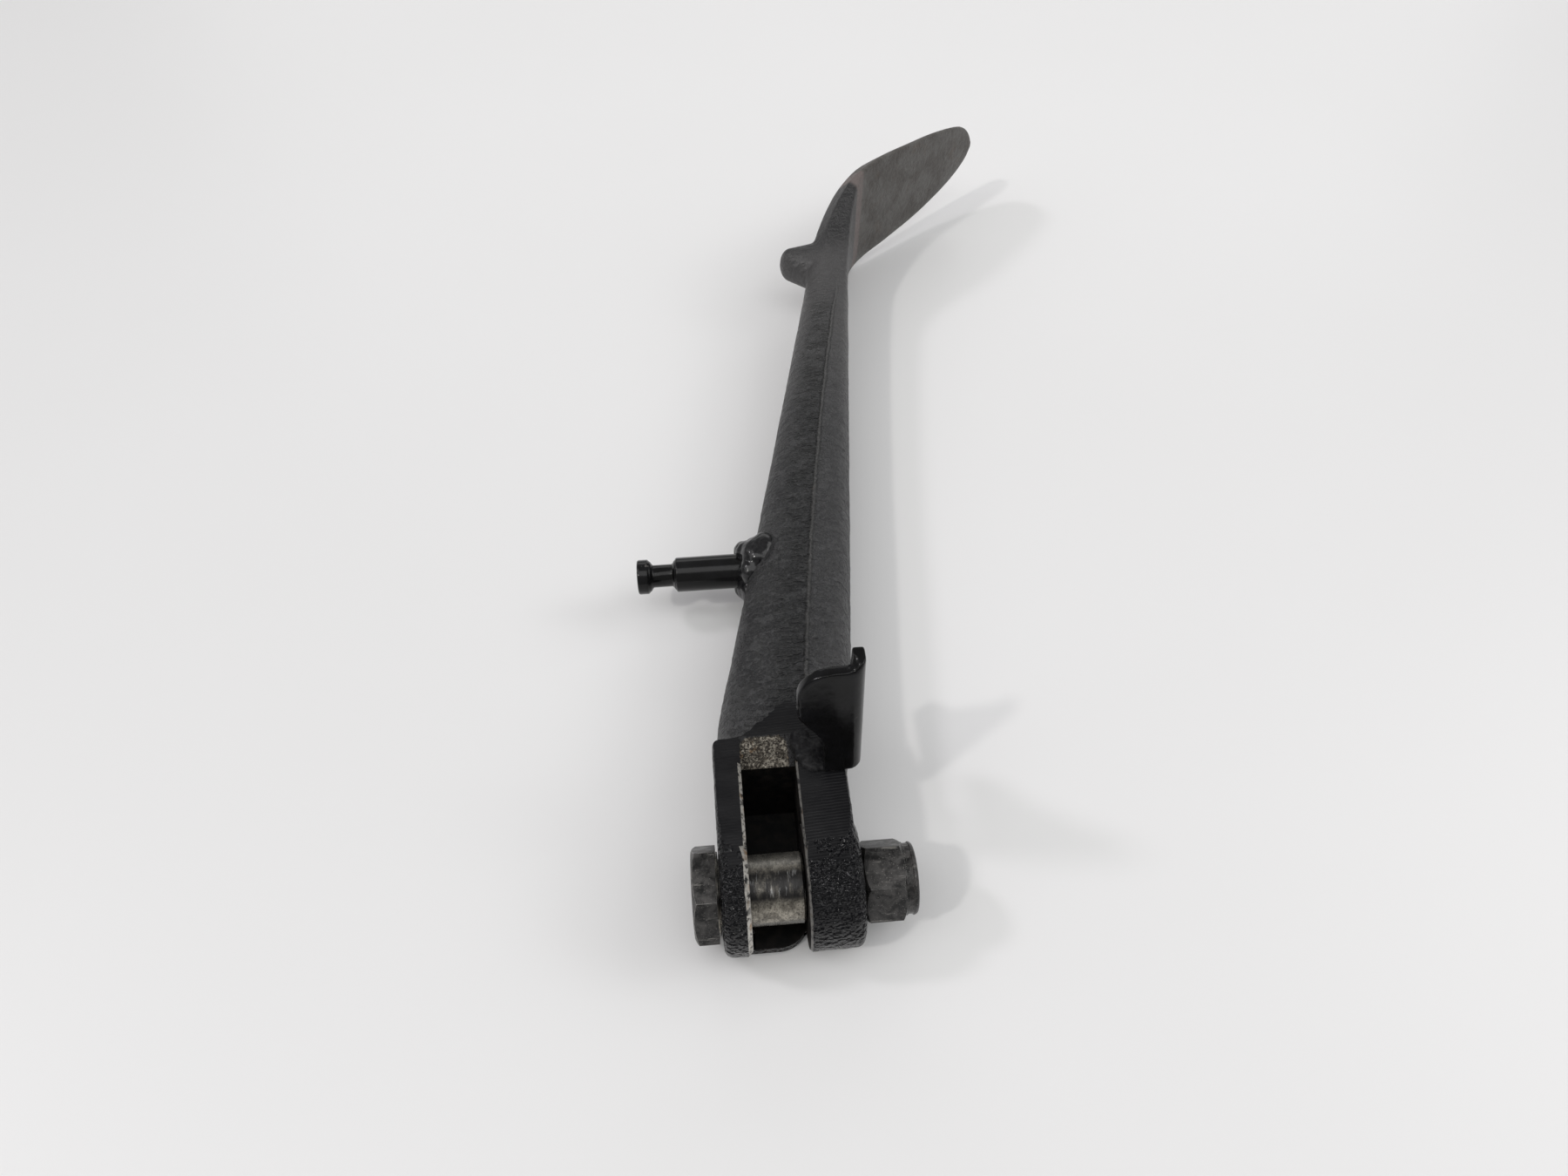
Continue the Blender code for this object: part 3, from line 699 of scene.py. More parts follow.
def build_bracket_weld():
    """A low, uneven run of weld along the foot of the bracket's plate."""
    top = CLEVIS_HEIGHT / MM
    beads = [lump((x, y, top - 0.2), size) for x, y, size in (
        (8.6, 19.4, (2.3, 1.9, 1.3)), (7.6, 21.8, (2.7, 2.0, 1.8)), (6.8, 24.0, (2.4, 2.0, 1.7)),
        (6.6, 26.2, (2.0, 1.8, 1.3)), (9.4, 22.6, (2.0, 2.6, 1.5)), (11.6, 18.6, (2.4, 1.3, 1.0)))]
    return bead_run("bracket_bead", beads, 0.3)


# --------------------------------------------------------------------------- pivot


def hexagon(name, across_flats, x_from, x_to, turn):
    corner = across_flats / 2 / cos(radians(30))
    bm = bmesh.new()
    lay = Matrix.Rotation(pi / 2, 4, "Y")
    centre = Matrix.Translation(((x_from + x_to) / 2, 0, EAR_RADIUS))
    bmesh.ops.create_cone(bm, cap_ends=True, segments=6, radius1=corner, radius2=corner,
                          depth=x_to - x_from, matrix=centre @ Matrix.Rotation(turn, 4, "X") @ lay)
    hexagonal = new_object(name, finish_mesh(name, bm))
    for _ in range(2):
        hexagonal.data.materials.append(None)
    return hexagonal


def chamfer_envelope(across_flats, x_from, x_to, chamfer, both):
    """A turned envelope that trims a hexagon's corners."""
    corner = across_flats / 2 / cos(radians(30)) + 0.2 * MM
    flat = across_flats / 2 * 0.96
    over = 0.5 * MM
    tip = flat - over * (corner - flat) / chamfer
    profile = [(x_from - over, 0), (x_from - over, tip), (x_from + chamfer, corner)]
    profile += [(x_to - chamfer, corner), (x_to + over, tip)] if both else [(x_to + over, corner)]
    profile += [(x_to + over, 0)]
    return turned("envelope", profile, 160)


def thread_wave(x, angle):
    """Depth of a helical thread below its crest at this place."""
    turn = (x / THREAD_PITCH - angle / (2 * pi)) % 1
    return -THREAD_DEPTH * min(1, 2.4 * abs(turn - 0.5))


def build_bolt():
    head = hexagon("pivot_bolt_steel", HEAD_ACROSS_FLATS, HEAD_FACE - HEAD_THICKNESS,
                   HEAD_FACE - 0.4 * MM, HEAD_TURN)
    head = boolean(head, [chamfer_envelope(HEAD_ACROSS_FLATS, HEAD_FACE - HEAD_THICKNESS,
                                           HEAD_FACE - 0.4 * MM, 0.9 * MM, False)], "INTERSECT")
    dish = HEAD_FACE - HEAD_THICKNESS
    recess = turned("dish", [(dish - 1 * MM, 0), (dish - 1 * MM, 6.4 * MM), (dish, 5.6 * MM),
                             (dish + 0.35 * MM, 4.9 * MM), (dish + 0.45 * MM, 0)], 96)
    head = boolean(head, [recess], "DIFFERENCE")
    bevel(head, 0.45 * MM, 2, 25, material=1)
    head = applied(head)
    shade(head, 30)

    shoulder_end = SLOT_RIGHT - 0.3 * MM
    washer = HEAD_ACROSS_FLATS / 2 - 0.7 * MM
    smooth_part = [
        (HEAD_FACE - 1.0 * MM, 0), (HEAD_FACE - 1.0 * MM, washer), (HEAD_FACE - 0.1 * MM, washer),
        (HEAD_FACE, washer - 0.1 * MM), (HEAD_FACE, SHOULDER_RADIUS - 0.3 * MM),
        (HEAD_FACE + 0.6 * MM, SHOULDER_RADIUS - 0.3 * MM), (HEAD_FACE + 0.9 * MM, SHOULDER_RADIUS),
        (shoulder_end - 0.4 * MM, SHOULDER_RADIUS), (shoulder_end, SHOULDER_RADIUS - 0.4 * MM),
        (shoulder_end, THREAD_RADIUS - THREAD_DEPTH), (shoulder_end + 1 * MM, 0),
    ]
    shoulder = turned("shoulder", smooth_part, 128)
    shade(shoulder, 30)

    start = shoulder_end - 0.5 * MM
    step = THREAD_PITCH / 16
    count = int((BOLT_END - start) / step)
    edge = 0.9 * MM
    rows = [(start + i * step, THREAD_RADIUS) for i in range(count + 1)]
    rows = [(start, 0)] + rows + [(rows[-1][0] + 0.02 * MM, THREAD_RADIUS - edge), (rows[-1][0], 0)]

    def wave(x, angle):
        limit = min(0, (BOLT_END - x) - edge)
        depth = thread_wave(x, angle)
        return min(depth, limit) if x < BOLT_END else 0.0

    thread = turned("thread", rows, 96, wobble=wave)
    shade(thread, 50)
    return head, shoulder, thread


def joined(name, objects):
    """Several closed solids that overlap, kept as one object with their own finishes."""
    bm = bmesh.new()
    for index, obj in enumerate(objects):
        start = len(bm.faces)
        bm.from_mesh(obj.data)
        bm.faces.ensure_lookup_table()
        if index:
            for face in bm.faces[start:]:
                face.material_index = index + 1
    mesh = bpy.data.meshes.new(name)
    bm.to_mesh(mesh)
    bm.free()
    for obj in objects:
        bpy.data.objects.remove(obj)
    return new_object(name, mesh)


def build_nut():
    nut = hexagon("pivot_nut_steel", NUT_ACROSS_FLATS, NUT_FACE, NUT_HEX_END, NUT_TURN)
    nut = boolean(nut, [chamfer_envelope(NUT_ACROSS_FLATS, NUT_FACE, NUT_HEX_END, 1.0 * MM, True)],
                  "INTERSECT")
    lip = 0.8 * MM
    collar = [(NUT_HEX_END - 2 * MM, 0), (NUT_HEX_END - 2 * MM, NUT_COLLAR_RADIUS),
              (NUT_HEX_END + 0.15 * MM, NUT_COLLAR_RADIUS),
              (NUT_HEX_END + 0.3 * MM, NUT_COLLAR_RADIUS - 0.25 * MM),
              (NUT_END - lip - 0.2 * MM, NUT_COLLAR_RADIUS - 0.25 * MM),
              (NUT_END - lip, NUT_COLLAR_RADIUS)]
    collar += [(NUT_END - lip + lip * sin(a), NUT_COLLAR_RADIUS - lip + lip * cos(a))
               for a in [pi / 2 * i / 6 for i in range(1, 7)]]
    collar += [(NUT_END, 0)]
    nut = boolean(nut, [turned("collar", collar, 128)], "UNION")
    bore = THREAD_RADIUS + 0.05 * MM
    recess = 5.8 * MM
    hollow = [(NUT_FACE - 2 * MM, 0), (NUT_FACE - 2 * MM, bore + 1.2 * MM),
              (NUT_FACE + 0.6 * MM, bore), (NUT_HEX_END - 1 * MM, bore),
              (NUT_HEX_END - 1 * MM, recess), (NUT_END - 0.5 * MM, recess),
              (NUT_END + 2 * MM, recess + 0.8 * MM), (NUT_END + 2 * MM, 0)]
    nut = boolean(nut, [turned("hollow", hollow, 124)], "DIFFERENCE")
    bevel(nut, 0.42 * MM, 2, 25, material=1)
    nut = applied(nut)
    shade(nut, 30)
    return nut


def build_insert():
    start = NUT_HEX_END - 0.7 * MM
    end = start + 2.4 * MM
    outer = 5.7 * MM
    inner = THREAD_RADIUS + 0.1 * MM
    edge = 0.25 * MM
    profile = [(start, outer), (end - edge, outer), (end, outer - edge), (end, inner + edge),
               (end - edge, inner), (start, inner)]
    ring = turned("nut_insert_nylon", profile, 96)
    shade(ring, 50)
    return ring


# --------------------------------------------------------------------------- materials


class Finish:
    """A small helper around one material's node tree."""

    def __init__(self, name):
        self.material = bpy.data.materials.new(name)
        self.material.use_nodes = True
        self.tree = self.material.node_tree
        self.shader = self.tree.nodes["Principled BSDF"]
        self.coords = self.add("ShaderNodeTexCoord").outputs["Object"]

    def add(self, kind, **settings):
        node = self.tree.nodes.new(kind)
        for key, value in settings.items():
            setattr(node, key, value)
        return node

    def link(self, source, socket):
        self.tree.links.new(source, socket)

    def put(self, socket, value):
        if isinstance(value, bpy.types.NodeSocket):
            self.link(value, socket)
        else:
            socket.default_value = value

    def dial(self, node, **values):
        for name, value in values.items():
            node.inputs[name].default_value = value

    def mapped(self, scale=(1, 1, 1), offset=(0, 0, 0), rotation=(0, 0, 0), source=None):
        node = self.add("ShaderNodeMapping")
        self.link(source or self.coords, node.inputs["Vector"])
        self.dial(node, Location=offset, Rotation=rotation, Scale=scale)
        return node.outputs["Vector"]

    def noise(self, size_mm, detail=3, roughness=0.5, distortion=0.0, stretch=(1, 1, 1), offset=0.0,
              source=None):
        node = self.add("ShaderNodeTexNoise")
        self.link(self.mapped(stretch, (offset,) * 3, source=source), node.inputs["Vector"])
        self.dial(node, Scale=1 / (size_mm * MM), Detail=detail, Roughness=roughness,
                  Distortion=distortion)
        return node.outputs["Fac"]

    def cells(self, size_mm):
        node = self.add("ShaderNodeTexVoronoi")
        self.link(self.mapped(), node.inputs["Vector"])
        self.dial(node, Scale=1 / (size_mm * MM))
        return node.outputs["Distance"]

    def lines(self, pitch_mm, distortion, detail, rotation=(0, 0, 0)):
        node = self.add("ShaderNodeTexWave", wave_type="BANDS", bands_direction="Y",
                        wave_profile="SIN")
        self.link(self.mapped(rotation=rotation), node.inputs["Vector"])
        self.dial(node, Scale=0.314 / (pitch_mm * MM), Distortion=distortion, Detail=detail)
        node.inputs["Detail Scale"].default_value = 2.0
        return node.outputs["Fac"]

    def math(self, operation, a, b=0.0):
        node = self.add("ShaderNodeMath", operation=operation)
        self.put(node.inputs[0], a)
        self.put(node.inputs[1], b)
        return node.outputs[0]

    def times(self, a, b):
        return self.math("MULTIPLY", a, b)

    def plus(self, a, b):
        return self.math("ADD", a, b)

    def minus(self, a, b):
        return self.math("SUBTRACT", a, b)

    def ramp(self, value, low, high, low_out=0.0, high_out=1.0):
        node = self.add("ShaderNodeMapRange", interpolation_type="SMOOTHSTEP")
        self.put(node.inputs["Value"], value)
        node.inputs["From Min"].default_value = low
        node.inputs["From Max"].default_value = high
        node.inputs["To Min"].default_value = low_out
        node.inputs["To Max"].default_value = high_out
        return node.outputs["Result"]

    def mix(self, factor, a, b):
        node = self.add("ShaderNodeMix", data_type="RGBA")
        self.put(node.inputs["Factor"], factor)
        for socket, value in ((node.inputs[6], a), (node.inputs[7], b)):
            self.put(socket, (*value, 1) if isinstance(value, tuple) else value)
        return node.outputs[2]

    def split(self):
        """The place on the piece, in metres of the frame."""
        node = self.add("ShaderNodeSeparateXYZ")
        self.link(self.coords, node.inputs[0])
        return node.outputs

    def pointiness(self):
        return self.add("ShaderNodeNewGeometry").outputs["Pointiness"]

    def bump(self, height, distance_mm, strength=1.0, over=None):
        node = self.add("ShaderNodeBump")
        self.link(height, node.inputs["Height"])
        self.dial(node, Distance=distance_mm * MM, Strength=strength)
        if over:
            self.link(over, node.inputs["Normal"])
        return node.outputs["Normal"]

    def set(self, colour=None, roughness=None, metallic=None, normal=None, specular=None):
        inputs = self.shader.inputs
        if colour is not None:
            self.put(inputs["Base Color"], (*colour, 1) if isinstance(colour, tuple) else colour)
        if roughness is not None:
            self.put(inputs["Roughness"], roughness)
        if metallic is not None:
            self.put(inputs["Metallic"], metallic)
        if normal is not None:
            self.link(normal, inputs["Normal"])
        if specular is not None:
            self.put(inputs["Specular IOR Level"], specular)
        return self.material


def at_y(y_mm):
    """A place along the leg, from the pivot, as the frame's Y."""
    return ORIGIN.y + y_mm * MM


def forged_paint():
    f = Finish("forged_black_paint")
    x, y, z = f.split()
    pebbles = f.noise(0.95, 4, 0.55, 0.3)
    waves = f.noise(2.4, 3, 0.5, 0.8, stretch=(0.7, 1.25, 0.7))
    glossy = f.ramp(f.plus(y, f.times(f.noise(6, 2), 4 * MM)),
                    at_y(17), at_y(7))
    matt = f.minus(1.0, glossy)
    domes = f.times(f.noise(0.85, 1, 0.4), glossy)
    fine = f.times(f.noise(0.3, 2, 0.5), matt)
    rough_zone = f.ramp(y, at_y(190), at_y(60), 0.22, 1.0)

    # the flash line, and chatter marks in a band to the left of it
    along = f.minus(y, ORIGIN.y)
    curve = f.math("MULTIPLY_ADD", along, FLASH_CURVE)
    curve.node.inputs[2].default_value = FLASH_SLOPE
    flash = f.math("MULTIPLY_ADD", along, curve)
    flash.node.inputs[2].default_value = ORIGIN.x + FLASH_START
    away = f.minus(x, flash)
    wander = f.times(f.minus(f.noise(2.6, 2), 0.5), 0.8 * MM)
    away = f.plus(away, wander)
    on_top = f.times(f.ramp(z, 17 * MM, 19 * MM), f.ramp(y, at_y(182), at_y(150)))
    on_top = f.times(on_top, f.ramp(y, at_y(27), at_y(34)))
    line = f.times(f.ramp(f.math("ABSOLUTE", away), 0.75 * MM, 0.1 * MM), on_top)
    band = f.times(f.ramp(away, -8.5 * MM, -5.0 * MM), f.ramp(away, 0, -0.5 * MM))
    band = f.times(band, on_top)
    broken = f.ramp(f.noise(3.2, 3, 0.6, stretch=(0.7, 1, 1)), 0.38, 0.58)
    chatter = f.times(f.lines(1.05, distortion=6.0, detail=3.0), band)
    chatter = f.times(chatter, broken)

    rough_zone = f.times(rough_zone, matt)
    height = f.times(pebbles, rough_zone)
    height = f.plus(height, f.times(waves, f.times(rough_zone, 1.3)))
    height = f.plus(height, f.times(domes, 0.7))
    height = f.plus(height, f.times(chatter, 0.5))
    height = f.plus(height, f.times(line, 0.5))
    normal = f.bump(height, 1.6, 1.0)
    normal = f.bump(fine, 0.08, 0.7, over=normal)

    base = f.mix(f.ramp(f.noise(9, 3), 0.35, 0.7), (0.010, 0.010, 0.0115), (0.020, 0.020, 0.021))
    # painted highlight and shade: crests of the pebbles and waves are lighter, their hollows darker
    painted_crest_light = f.times(f.ramp(f.plus(pebbles, waves), 0.96, 1.16), 0.75)
    base = f.mix(painted_crest_light, base, (0.052, 0.052, 0.054))
    # painted highlight: the chatter marks' ridges are lighter than their hollows
    base = f.mix(f.times(chatter, 0.5), base, (0.045, 0.045, 0.046))
    # painted sheen: the top right of the flash line is lighter, as on a side that catches the light
    lit_flank_sheen = f.times(f.ramp(away, -0.5 * MM, 0.3 * MM), on_top)
    base = f.mix(f.times(lit_flank_sheen, 0.45), base, (0.056, 0.056, 0.058))
    base = f.mix(glossy, base, (0.003, 0.003, 0.004))
    far = f.ramp(y, at_y(110), at_y(175))
    base = f.mix(f.times(far, 0.7), base, (0.068, 0.066, 0.066))
    up = f.add("ShaderNodeSeparateXYZ")
    f.link(f.add("ShaderNodeNewGeometry").outputs["Normal"], up.inputs[0])
    shaded = f.times(f.ramp(up.outputs[2], 0.50, 0.78), f.ramp(y, at_y(184), at_y(195)))
    base = f.mix(f.times(shaded, 0.85), base, (0.007, 0.007, 0.008))
    base = f.mix(f.times(band, 0.35), base, (0.014, 0.015, 0.015))
    base = f.mix(f.times(line, 0.6), base, (0.075, 0.074, 0.072))

    # worn and rusty where boots and the ground rub: the blade and the strip beside it; the strip's
    # light tone is partly worn paint and partly a painted highlight on its rounded edge
    inner = f.add("ShaderNodeVectorMath", operation="DOT_PRODUCT")
    f.link(f.coords, inner.inputs[0])
    ahead = Vector((sin(FOOT_HEADING), cos(FOOT_HEADING), -0.055))
    inner.inputs[1].default_value = ahead
    root_along = (FOOT_ROOT + ORIGIN + Vector((0, 0, 32 * MM))).dot(ahead)
    blade = f.ramp(inner.outputs["Value"], root_along - 8.2 * MM, root_along - 7.0 * MM)
    spots = f.ramp(f.noise(6.5, 5, 0.6, 0.4), 0.35, 0.65)
    worn = f.mix(spots, (0.066, 0.060, 0.054), (0.104, 0.100, 0.094))
    rust = f.ramp(f.noise(7, 5, 0.65, 0.6, offset=0.03), 0.55, 0.75)
    worn = f.mix(f.times(rust, 0.45), worn, (0.085, 0.056, 0.036))
    # painted highlight mixed with worn paint: the strip along the blade's inner border is lighter
    worn_and_lit_strip = f.ramp(inner.outputs["Value"], root_along - 2.6 * MM, root_along - 3.8 * MM)
    worn = f.mix(f.times(worn_and_lit_strip, 0.8), worn, (0.150, 0.122, 0.116))
    base = f.mix(blade, base, worn)
    edge = f.ramp(f.pointiness(), 0.53, 0.62)
    edge = f.times(edge, f.ramp(f.noise(1.6, 4, 0.6), 0.42, 0.6))
    edge = f.times(edge, f.ramp(y, at_y(120), at_y(175), 0.2, 0.7))
    base = f.mix(edge, base, (0.12, 0.095, 0.08))

    roughness = f.ramp(pebbles, 0.3, 0.7, 0.36, 0.5)
    roughness = f.times(roughness, f.ramp(glossy, 0, 1, 1.0, 0.3))
    roughness = f.plus(roughness, f.times(blade, 0.1))
    return f.set(base, roughness, 0.0, normal, specular=f.ramp(glossy, 0, 1, 0.5, 0.22))


def milled_paint():
    f = Finish("milled_black_paint")
    tool = f.lines(0.62, distortion=1.2, detail=1.0, rotation=(0, 0, radians(-4)))
    fine = f.noise(0.25, 3, 0.6, stretch=(0.1, 1, 1))
    height = f.plus(f.times(tool, 0.6), f.times(fine, 0.5))
    normal = f.bump(height, 0.06, 0.9)
    smear = f.ramp(f.noise(5, 4, 0.6, stretch=(0.4, 1.2, 1)), 0.35, 0.7)
    base = f.mix(smear, (0.005, 0.005, 0.006), (0.011, 0.011, 0.012))
    return f.set(base, f.ramp(fine, 0.3, 0.7, 0.28, 0.42), 0.0, normal, specular=0.25)


def bare_steel():
    """The stop face, rubbed bare in the middle with paint left round its rim."""
    f = Finish("bare_stop_face")
    x, y = f.split()[:2]
    blotch = f.ramp(f.noise(1.2, 5, 0.7, 0.6), 0.38, 0.62)
    pits = f.ramp(f.noise(0.42, 4, 0.7), 0.38, 0.52)
    cross = f.noise(0.45, 3, 0.6, stretch=(0.16, 1, 1))
    down = f.noise(0.5, 3, 0.6, stretch=(1, 0.18, 0.3))
    colour = f.mix(blotch, (0.055, 0.048, 0.038), (0.24, 0.22, 0.185))
    colour = f.mix(f.times(f.ramp(cross, 0.52, 0.64), 0.8), colour, (0.05, 0.043, 0.034))
    colour = f.mix(f.ramp(f.noise(3.0, 4, 0.6, offset=0.2), 0.56, 0.7), colour, (0.15, 0.095, 0.05))
    colour = f.mix(f.minus(1.0, pits), colour, (0.035, 0.03, 0.026))

    middle = ORIGIN.x + (SLOT_LEFT + SLOT_RIGHT) / 2 - 0.6 * MM
    sideways = f.math("DIVIDE", f.minus(x, middle), 5.0 * MM)
    lengthways = f.math("DIVIDE", f.minus(y, ORIGIN.y + SLOT_ROOT), 5.7 * MM)
    rim = f.plus(f.math("POWER", f.math("ABSOLUTE", sideways), 5.0),
                 f.math("POWER", f.math("ABSOLUTE", lengthways), 5.0))
    rim = f.plus(rim, f.minus(f.noise(1.5, 4, 0.7, 0.4), 0.5))
    painted = f.ramp(rim, 0.72, 1.0)
    colour = f.mix(painted, colour, (0.010, 0.010, 0.011))
    height = f.plus(f.plus(cross, down), pits)
    return f.set(colour, f.ramp(blotch, 0, 1, 0.5, 0.36), f.ramp(painted, 0, 1, 0.7, 0.0),
                 f.bump(height, 0.08, 0.8), specular=0.4)


def worn_edge():
    f = Finish("worn_slot_edge")
    x = f.split()[0]
    left = f.ramp(x, ORIGIN.x + 1 * MM, ORIGIN.x - 1 * MM, 0.22, 1.0)
    chips = f.ramp(f.noise(1.1, 5, 0.65, 0.5), 0.36, 0.54)
    bare = f.times(chips, left)
    rust = f.ramp(f.noise(2.4, 3), 0.55, 0.72)
    metal = f.mix(rust, (0.55, 0.53, 0.49), (0.30, 0.20, 0.12))
    colour = f.mix(bare, (0.014, 0.014, 0.015), metal)
    height = f.noise(0.4, 4, 0.6)
    return f.set(colour, f.ramp(bare, 0, 1, 0.3, 0.34), f.times(bare, 0.4),
                 f.bump(height, 0.08, 0.7), specular=0.4)


def slot_wall():
    f = Finish("greasy_slot_wall")
    grime = f.noise(2.2, 4, 0.6, 0.5)
    colour = f.mix(f.ramp(grime, 0.4, 0.7), (0.006, 0.006, 0.006), (0.016, 0.013, 0.011))
    return f.set(colour, f.ramp(grime, 0.3, 0.7, 0.4, 0.65), 0.0, f.bump(grime, 0.12, 0.6),
                 specular=0.2)


def gloss_paint(name, peel, shine):
    f = Finish(name)
    orange_peel = f.noise(1.6, 2, 0.4)
    dust = f.noise(0.35, 3, 0.6)
    height = f.plus(f.times(orange_peel, peel), f.times(dust, 0.12))
    tone = f.ramp(f.noise(6, 4, 0.6), 0.35, 0.7)
    colour = f.mix(tone, (0.004, 0.004, 0.004), (0.008, 0.008, 0.009))
    scuff = f.ramp(f.noise(1.9, 5, 0.7, offset=0.11), 0.66, 0.72)
    colour = f.mix(f.times(scuff, 0.35), colour, (0.08, 0.08, 0.08))
    edge = f.times(f.ramp(f.pointiness(), 0.56, 0.66), f.ramp(f.noise(1.2, 4), 0.45, 0.6))
    colour = f.mix(f.times(edge, 0.5), colour, (0.2, 0.19, 0.18))
    return f.set(colour, f.ramp(dust, 0.3, 0.75, 0.13, 0.22), 0.0, f.bump(height, 0.04, 0.6),
                 specular=shine)


def weld_paint(name, roughness, shine):
    f = Finish(name)
    ripple = f.noise(1.1, 3, 0.5, 1.2)
    spatter = f.cells(1.5)
    height = f.plus(ripple, f.times(spatter, 0.35))
    colour = f.mix(f.ramp(ripple, 0.35, 0.7), (0.006, 0.006, 0.007), (0.018, 0.018, 0.019))
    return f.set(colour, f.ramp(f.noise(0.7, 3), 0.3, 0.7, roughness - 0.05, roughness + 0.12), 0.0,
                 f.bump(height, 0.22 * roughness, 0.8), specular=shine)


def dark_oxide(name):
    f = Finish(name)
    blotch = f.ramp(f.noise(2.4, 5, 0.65, 0.5), 0.36, 0.66)
    colour = f.mix(blotch, (0.018, 0.018, 0.018), (0.078, 0.075, 0.073))
    scratch = f.ramp(f.noise(0.9, 4, 0.7, stretch=(0.12, 1, 1)), 0.60, 0.68)
    colour = f.mix(f.times(scratch, 0.55), colour, (0.30, 0.29, 0.27))
    speckle = f.ramp(f.noise(0.28, 3, 0.6), 0.62, 0.70)
    colour = f.mix(f.times(speckle, 0.5), colour, (0.34, 0.33, 0.31))
    height = f.noise(0.6, 5, 0.6)
    return f.set(colour, f.ramp(blotch, 0, 1, 0.28, 0.44), 0.5, f.bump(height, 0.05, 0.7),
                 specular=0.3)


def polished_edge():
    f = Finish("rubbed_hexagon_edge")
    chips = f.ramp(f.noise(1.4, 4, 0.65), 0.36, 0.54)
    colour = f.mix(chips, (0.06, 0.058, 0.055), (0.42, 0.41, 0.39))
    return f.set(colour, 0.34, 0.3, f.bump(f.noise(0.5, 3), 0.04, 0.6))


def ground_shoulder():
    """Bare steel that turns in the lug: marks run around it, with a painted dark reflection and
    painted highlight streaks along the middle.
    """
    f = Finish("ground_shoulder")
    x, y, z = f.split()
    centred_y = f.minus(y, PIVOT.y)
    centred_z = f.minus(z, PIVOT.z)
    angle = f.math("ARCTAN2", centred_z, centred_y)
    round_it = f.times(angle, SHOULDER_RADIUS)
    combine = f.add("ShaderNodeCombineXYZ")
    f.link(x, combine.inputs[0])
    f.link(round_it, combine.inputs[1])

    def marks(size_mm, stretch, detail=4):
        return f.noise(size_mm, detail, 0.65, stretch=stretch, source=combine.outputs[0])

    streak = marks(0.7, (1, 0.16, 1))
    fine = marks(0.25, (1, 0.06, 1), 3)
    blotch = marks(1.4, (1, 0.7, 1), 5)
    grain = marks(0.40, (1, 1, 1), 4)
    steel = f.mix(f.ramp(blotch, 0.38, 0.62), (0.17, 0.155, 0.13), (0.42, 0.39, 0.33))
    steel = f.mix(f.times(f.ramp(grain, 0.50, 0.62), 0.75), steel, (0.05, 0.045, 0.038))
    # a painted dark reflection lies along the top, with painted highlight streaks through it; the
    # back of the top is darker
    darker_back = f.ramp(angle, radians(88), radians(70))
    steel = f.mix(f.times(darker_back, 0.6), steel, (0.12, 0.12, 0.115))
    band = f.times(f.ramp(angle, radians(74), radians(92)),
                  f.ramp(angle, radians(143), radians(128)))
    painted_reflection_streaks = f.mix(f.ramp(streak, 0.55, 0.68), (0.022, 0.021, 0.021), (0.30, 0.30, 0.30))
    reflection_cover = f.ramp(marks(2.0, (1, 0.4, 1)), 0.30, 0.55, 0.55, 1.0)
    steel = f.mix(f.times(band, reflection_cover), steel, painted_reflection_streaks)
    height = f.plus(fine, f.times(grain, 0.4))
    return f.set(steel, f.ramp(streak, 0.4, 0.6, 0.40, 0.26), 0.6, f.bump(height, 0.03, 0.7))


def bright_thread():
    f = Finish("oiled_thread")
    grime = f.noise(0.9, 4, 0.6)
    colour = f.mix(f.ramp(grime, 0.4, 0.65), (0.05, 0.047, 0.043), (0.24, 0.23, 0.21))
    return f.set(colour, 0.36, 0.85, f.bump(f.noise(0.3, 3), 0.02, 0.6))


def nylon():
    f = Finish("nylon_ring")
    tone = f.noise(2.0, 3, 0.5)
    colour = f.mix(tone, (0.34, 0.32, 0.27), (0.50, 0.48, 0.42))
    return f.set(colour, 0.45, 0.0, f.bump(f.noise(0.5, 2), 0.03, 0.5))


# --------------------------------------------------------------------------- stage


def table():
    bm = bmesh.new()
    bmesh.ops.create_grid(bm, x_segments=1, y_segments=1, size=3.0)
    floor = new_object("table", finish_mesh("table", bm))
    f = Finish("white_table")
    tone = f.noise(160, 3, 0.5)
    colour = f.mix(tone, (0.81, 0.81, 0.81), (0.84, 0.84, 0.845))
    floor.data.materials.append(f.set(colour, 0.34, 0.0))


def lamp(name, direction, strength, softness, colour):
    """A distant lamp whose light travels along the direction."""
    data = bpy.data.lights.new(name, "SUN")
    data.energy = strength
    data.angle = radians(softness)
    data.color = colour
    obj = bpy.data.objects.new(name, data)
    bpy.context.scene.collection.objects.link(obj)
    obj.rotation_euler = Vector(direction).to_track_quat("-Z", "Y").to_euler()


def panel(name, offset, size, power):
    """A big soft panel that shines down on the object from this far away, in metres."""
    data = bpy.data.lights.new(name, "AREA")
    data.shape = "RECTANGLE"
    data.size, data.size_y = size
    data.energy = power
    obj = bpy.data.objects.new(name, data)
    bpy.context.scene.collection.objects.link(obj)
    obj.location = PIVOT + Vector(offset)
    obj.rotation_euler = (-Vector(offset)).to_track_quat("-Z", "Y").to_euler()


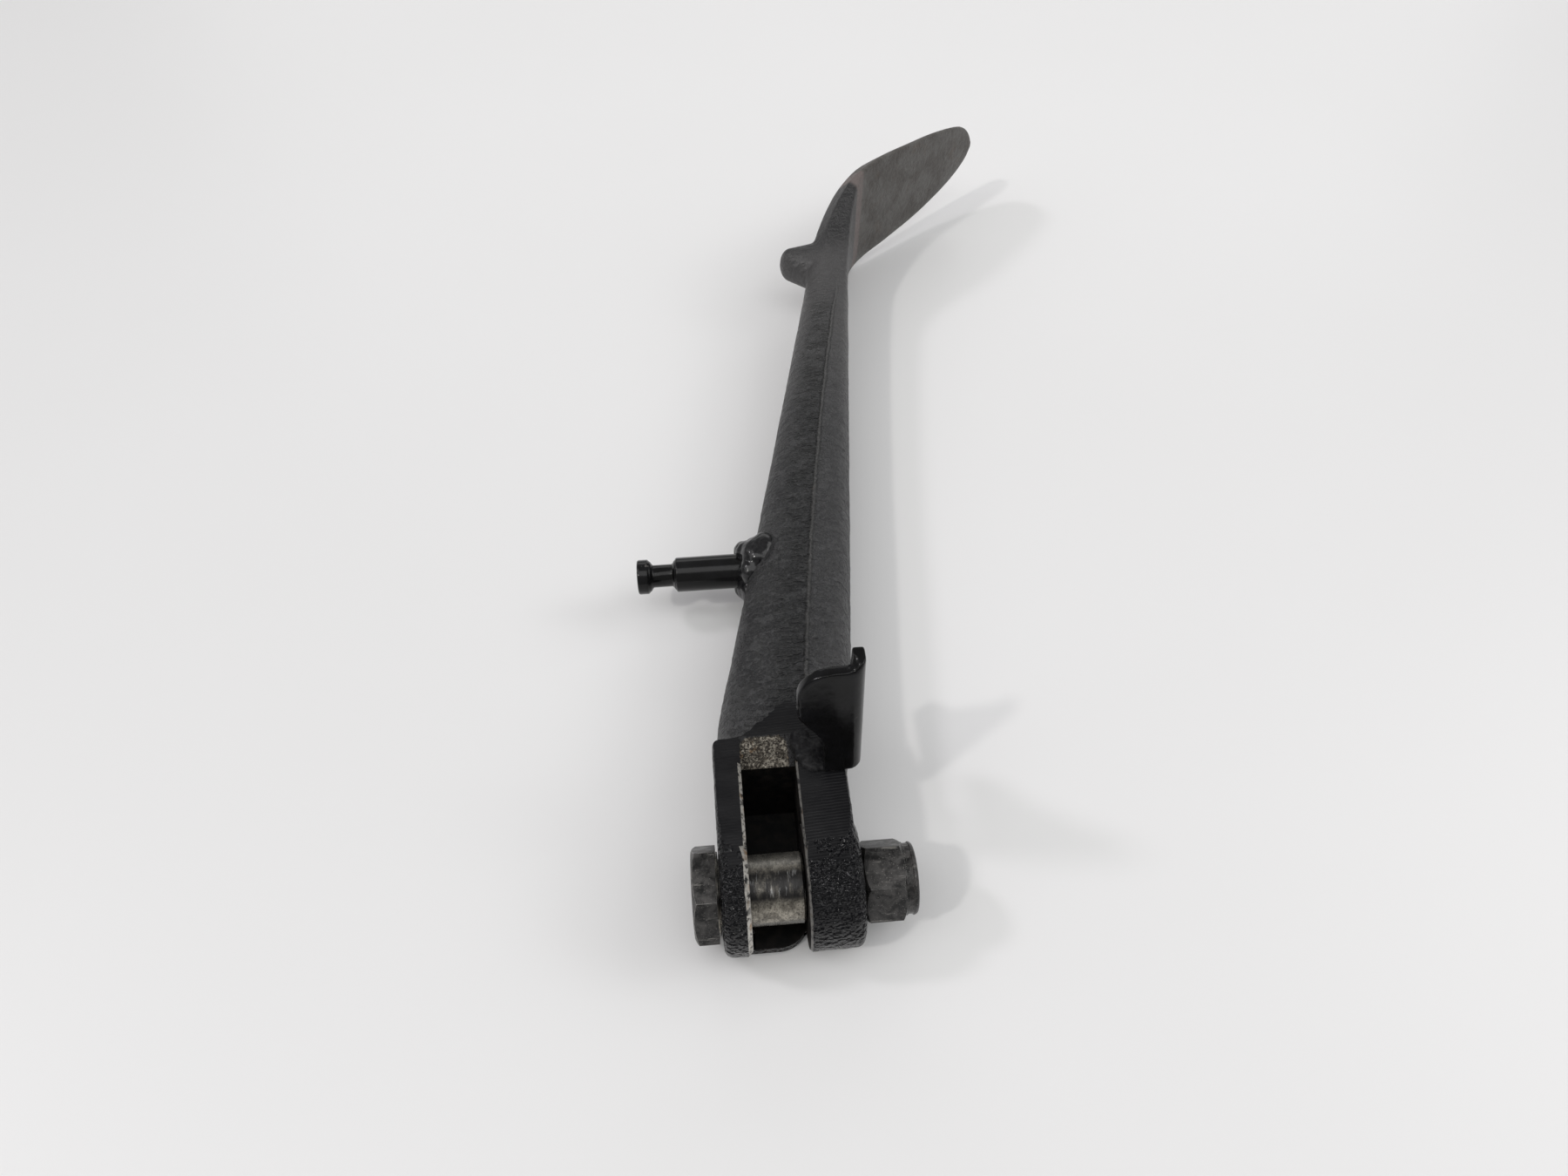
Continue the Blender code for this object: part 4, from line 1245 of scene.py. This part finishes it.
def world_light():
    world = bpy.data.worlds.new("soft_room")
    bpy.context.scene.world = world
    world.use_nodes = True
    background = world.node_tree.nodes["Background"]
    background.inputs["Color"].default_value = (1.0, 0.995, 0.985, 1)
    background.inputs["Strength"].default_value = 0.26


def camera():
    data = bpy.data.cameras.new("camera")
    data.lens = 27
    data.sensor_width = 36
    data.clip_start = 0.01
    obj = bpy.data.objects.new("camera", data)
    bpy.context.scene.collection.objects.link(obj)
    obj.location = PIVOT + Vector((-7.28, -96.64, 211.04)) * MM
    obj.rotation_euler = (radians(39), 0, radians(-5))
    bpy.context.scene.camera = obj


def main():
    oxide = dark_oxide("dark_oxide_head")
    bright = polished_edge()
    leg = build_leg()
    place(leg, "stand", "stand_leg",
          [forged_paint(), milled_paint(), bare_steel(), worn_edge(), slot_wall()])
    place(build_post(), "stand", "spring_post", [gloss_paint("post_paint", 0.4, 0.3)])
    place(build_post_weld(), "stand", "spring_post_weld",
          [weld_paint("post_weld_paint", 0.14, 0.45)])
    place(build_bracket(), "stand", "stop_bracket",
          [gloss_paint("bracket_paint", 1.0, 0.18)])
    place(build_bracket_weld(), "stand", "bracket_weld",
          [weld_paint("bracket_weld_paint", 0.5, 0.16)])
    bolt = joined("pivot_bolt_steel", list(build_bolt()))
    place(bolt, "pivot", "pivot_bolt",
          [oxide, bright, ground_shoulder(), bright_thread()])
    place(build_nut(), "pivot", "pivot_nut", [oxide, bright])
    place(build_insert(), "pivot", "nut_insert", [nylon()])

    table()
    lamp("lamp_front_left", (0.754, 0.40, -1), 0.45, 3.5, (1.0, 0.97, 0.93))
    lamp("lamp_back_left", (1.08, -0.30, -1), 0.46, 7.0, (1.0, 0.96, 1.0))
    lamp("lamp_right", (-1.5, 0.05, -1), 0.25, 16.0, (1.0, 1.0, 1.0))
    panel("left_wall", (-1.4, 0.1, 1.3), (1.6, 1.2), 4.0)
    panel("right_wall", (1.5, 0.1, 1.2), (1.6, 1.2), 9.0)
    panel("ceiling", (-0.1, -0.5, 2.0), (3.0, 1.2), 16.0)
    panel("back_wall", (0.3, 2.2, 1.0), (2.6, 0.8), 6.0)
    world_light()
    camera()
    bpy.context.scene.view_settings.view_transform = "Standard"


main()
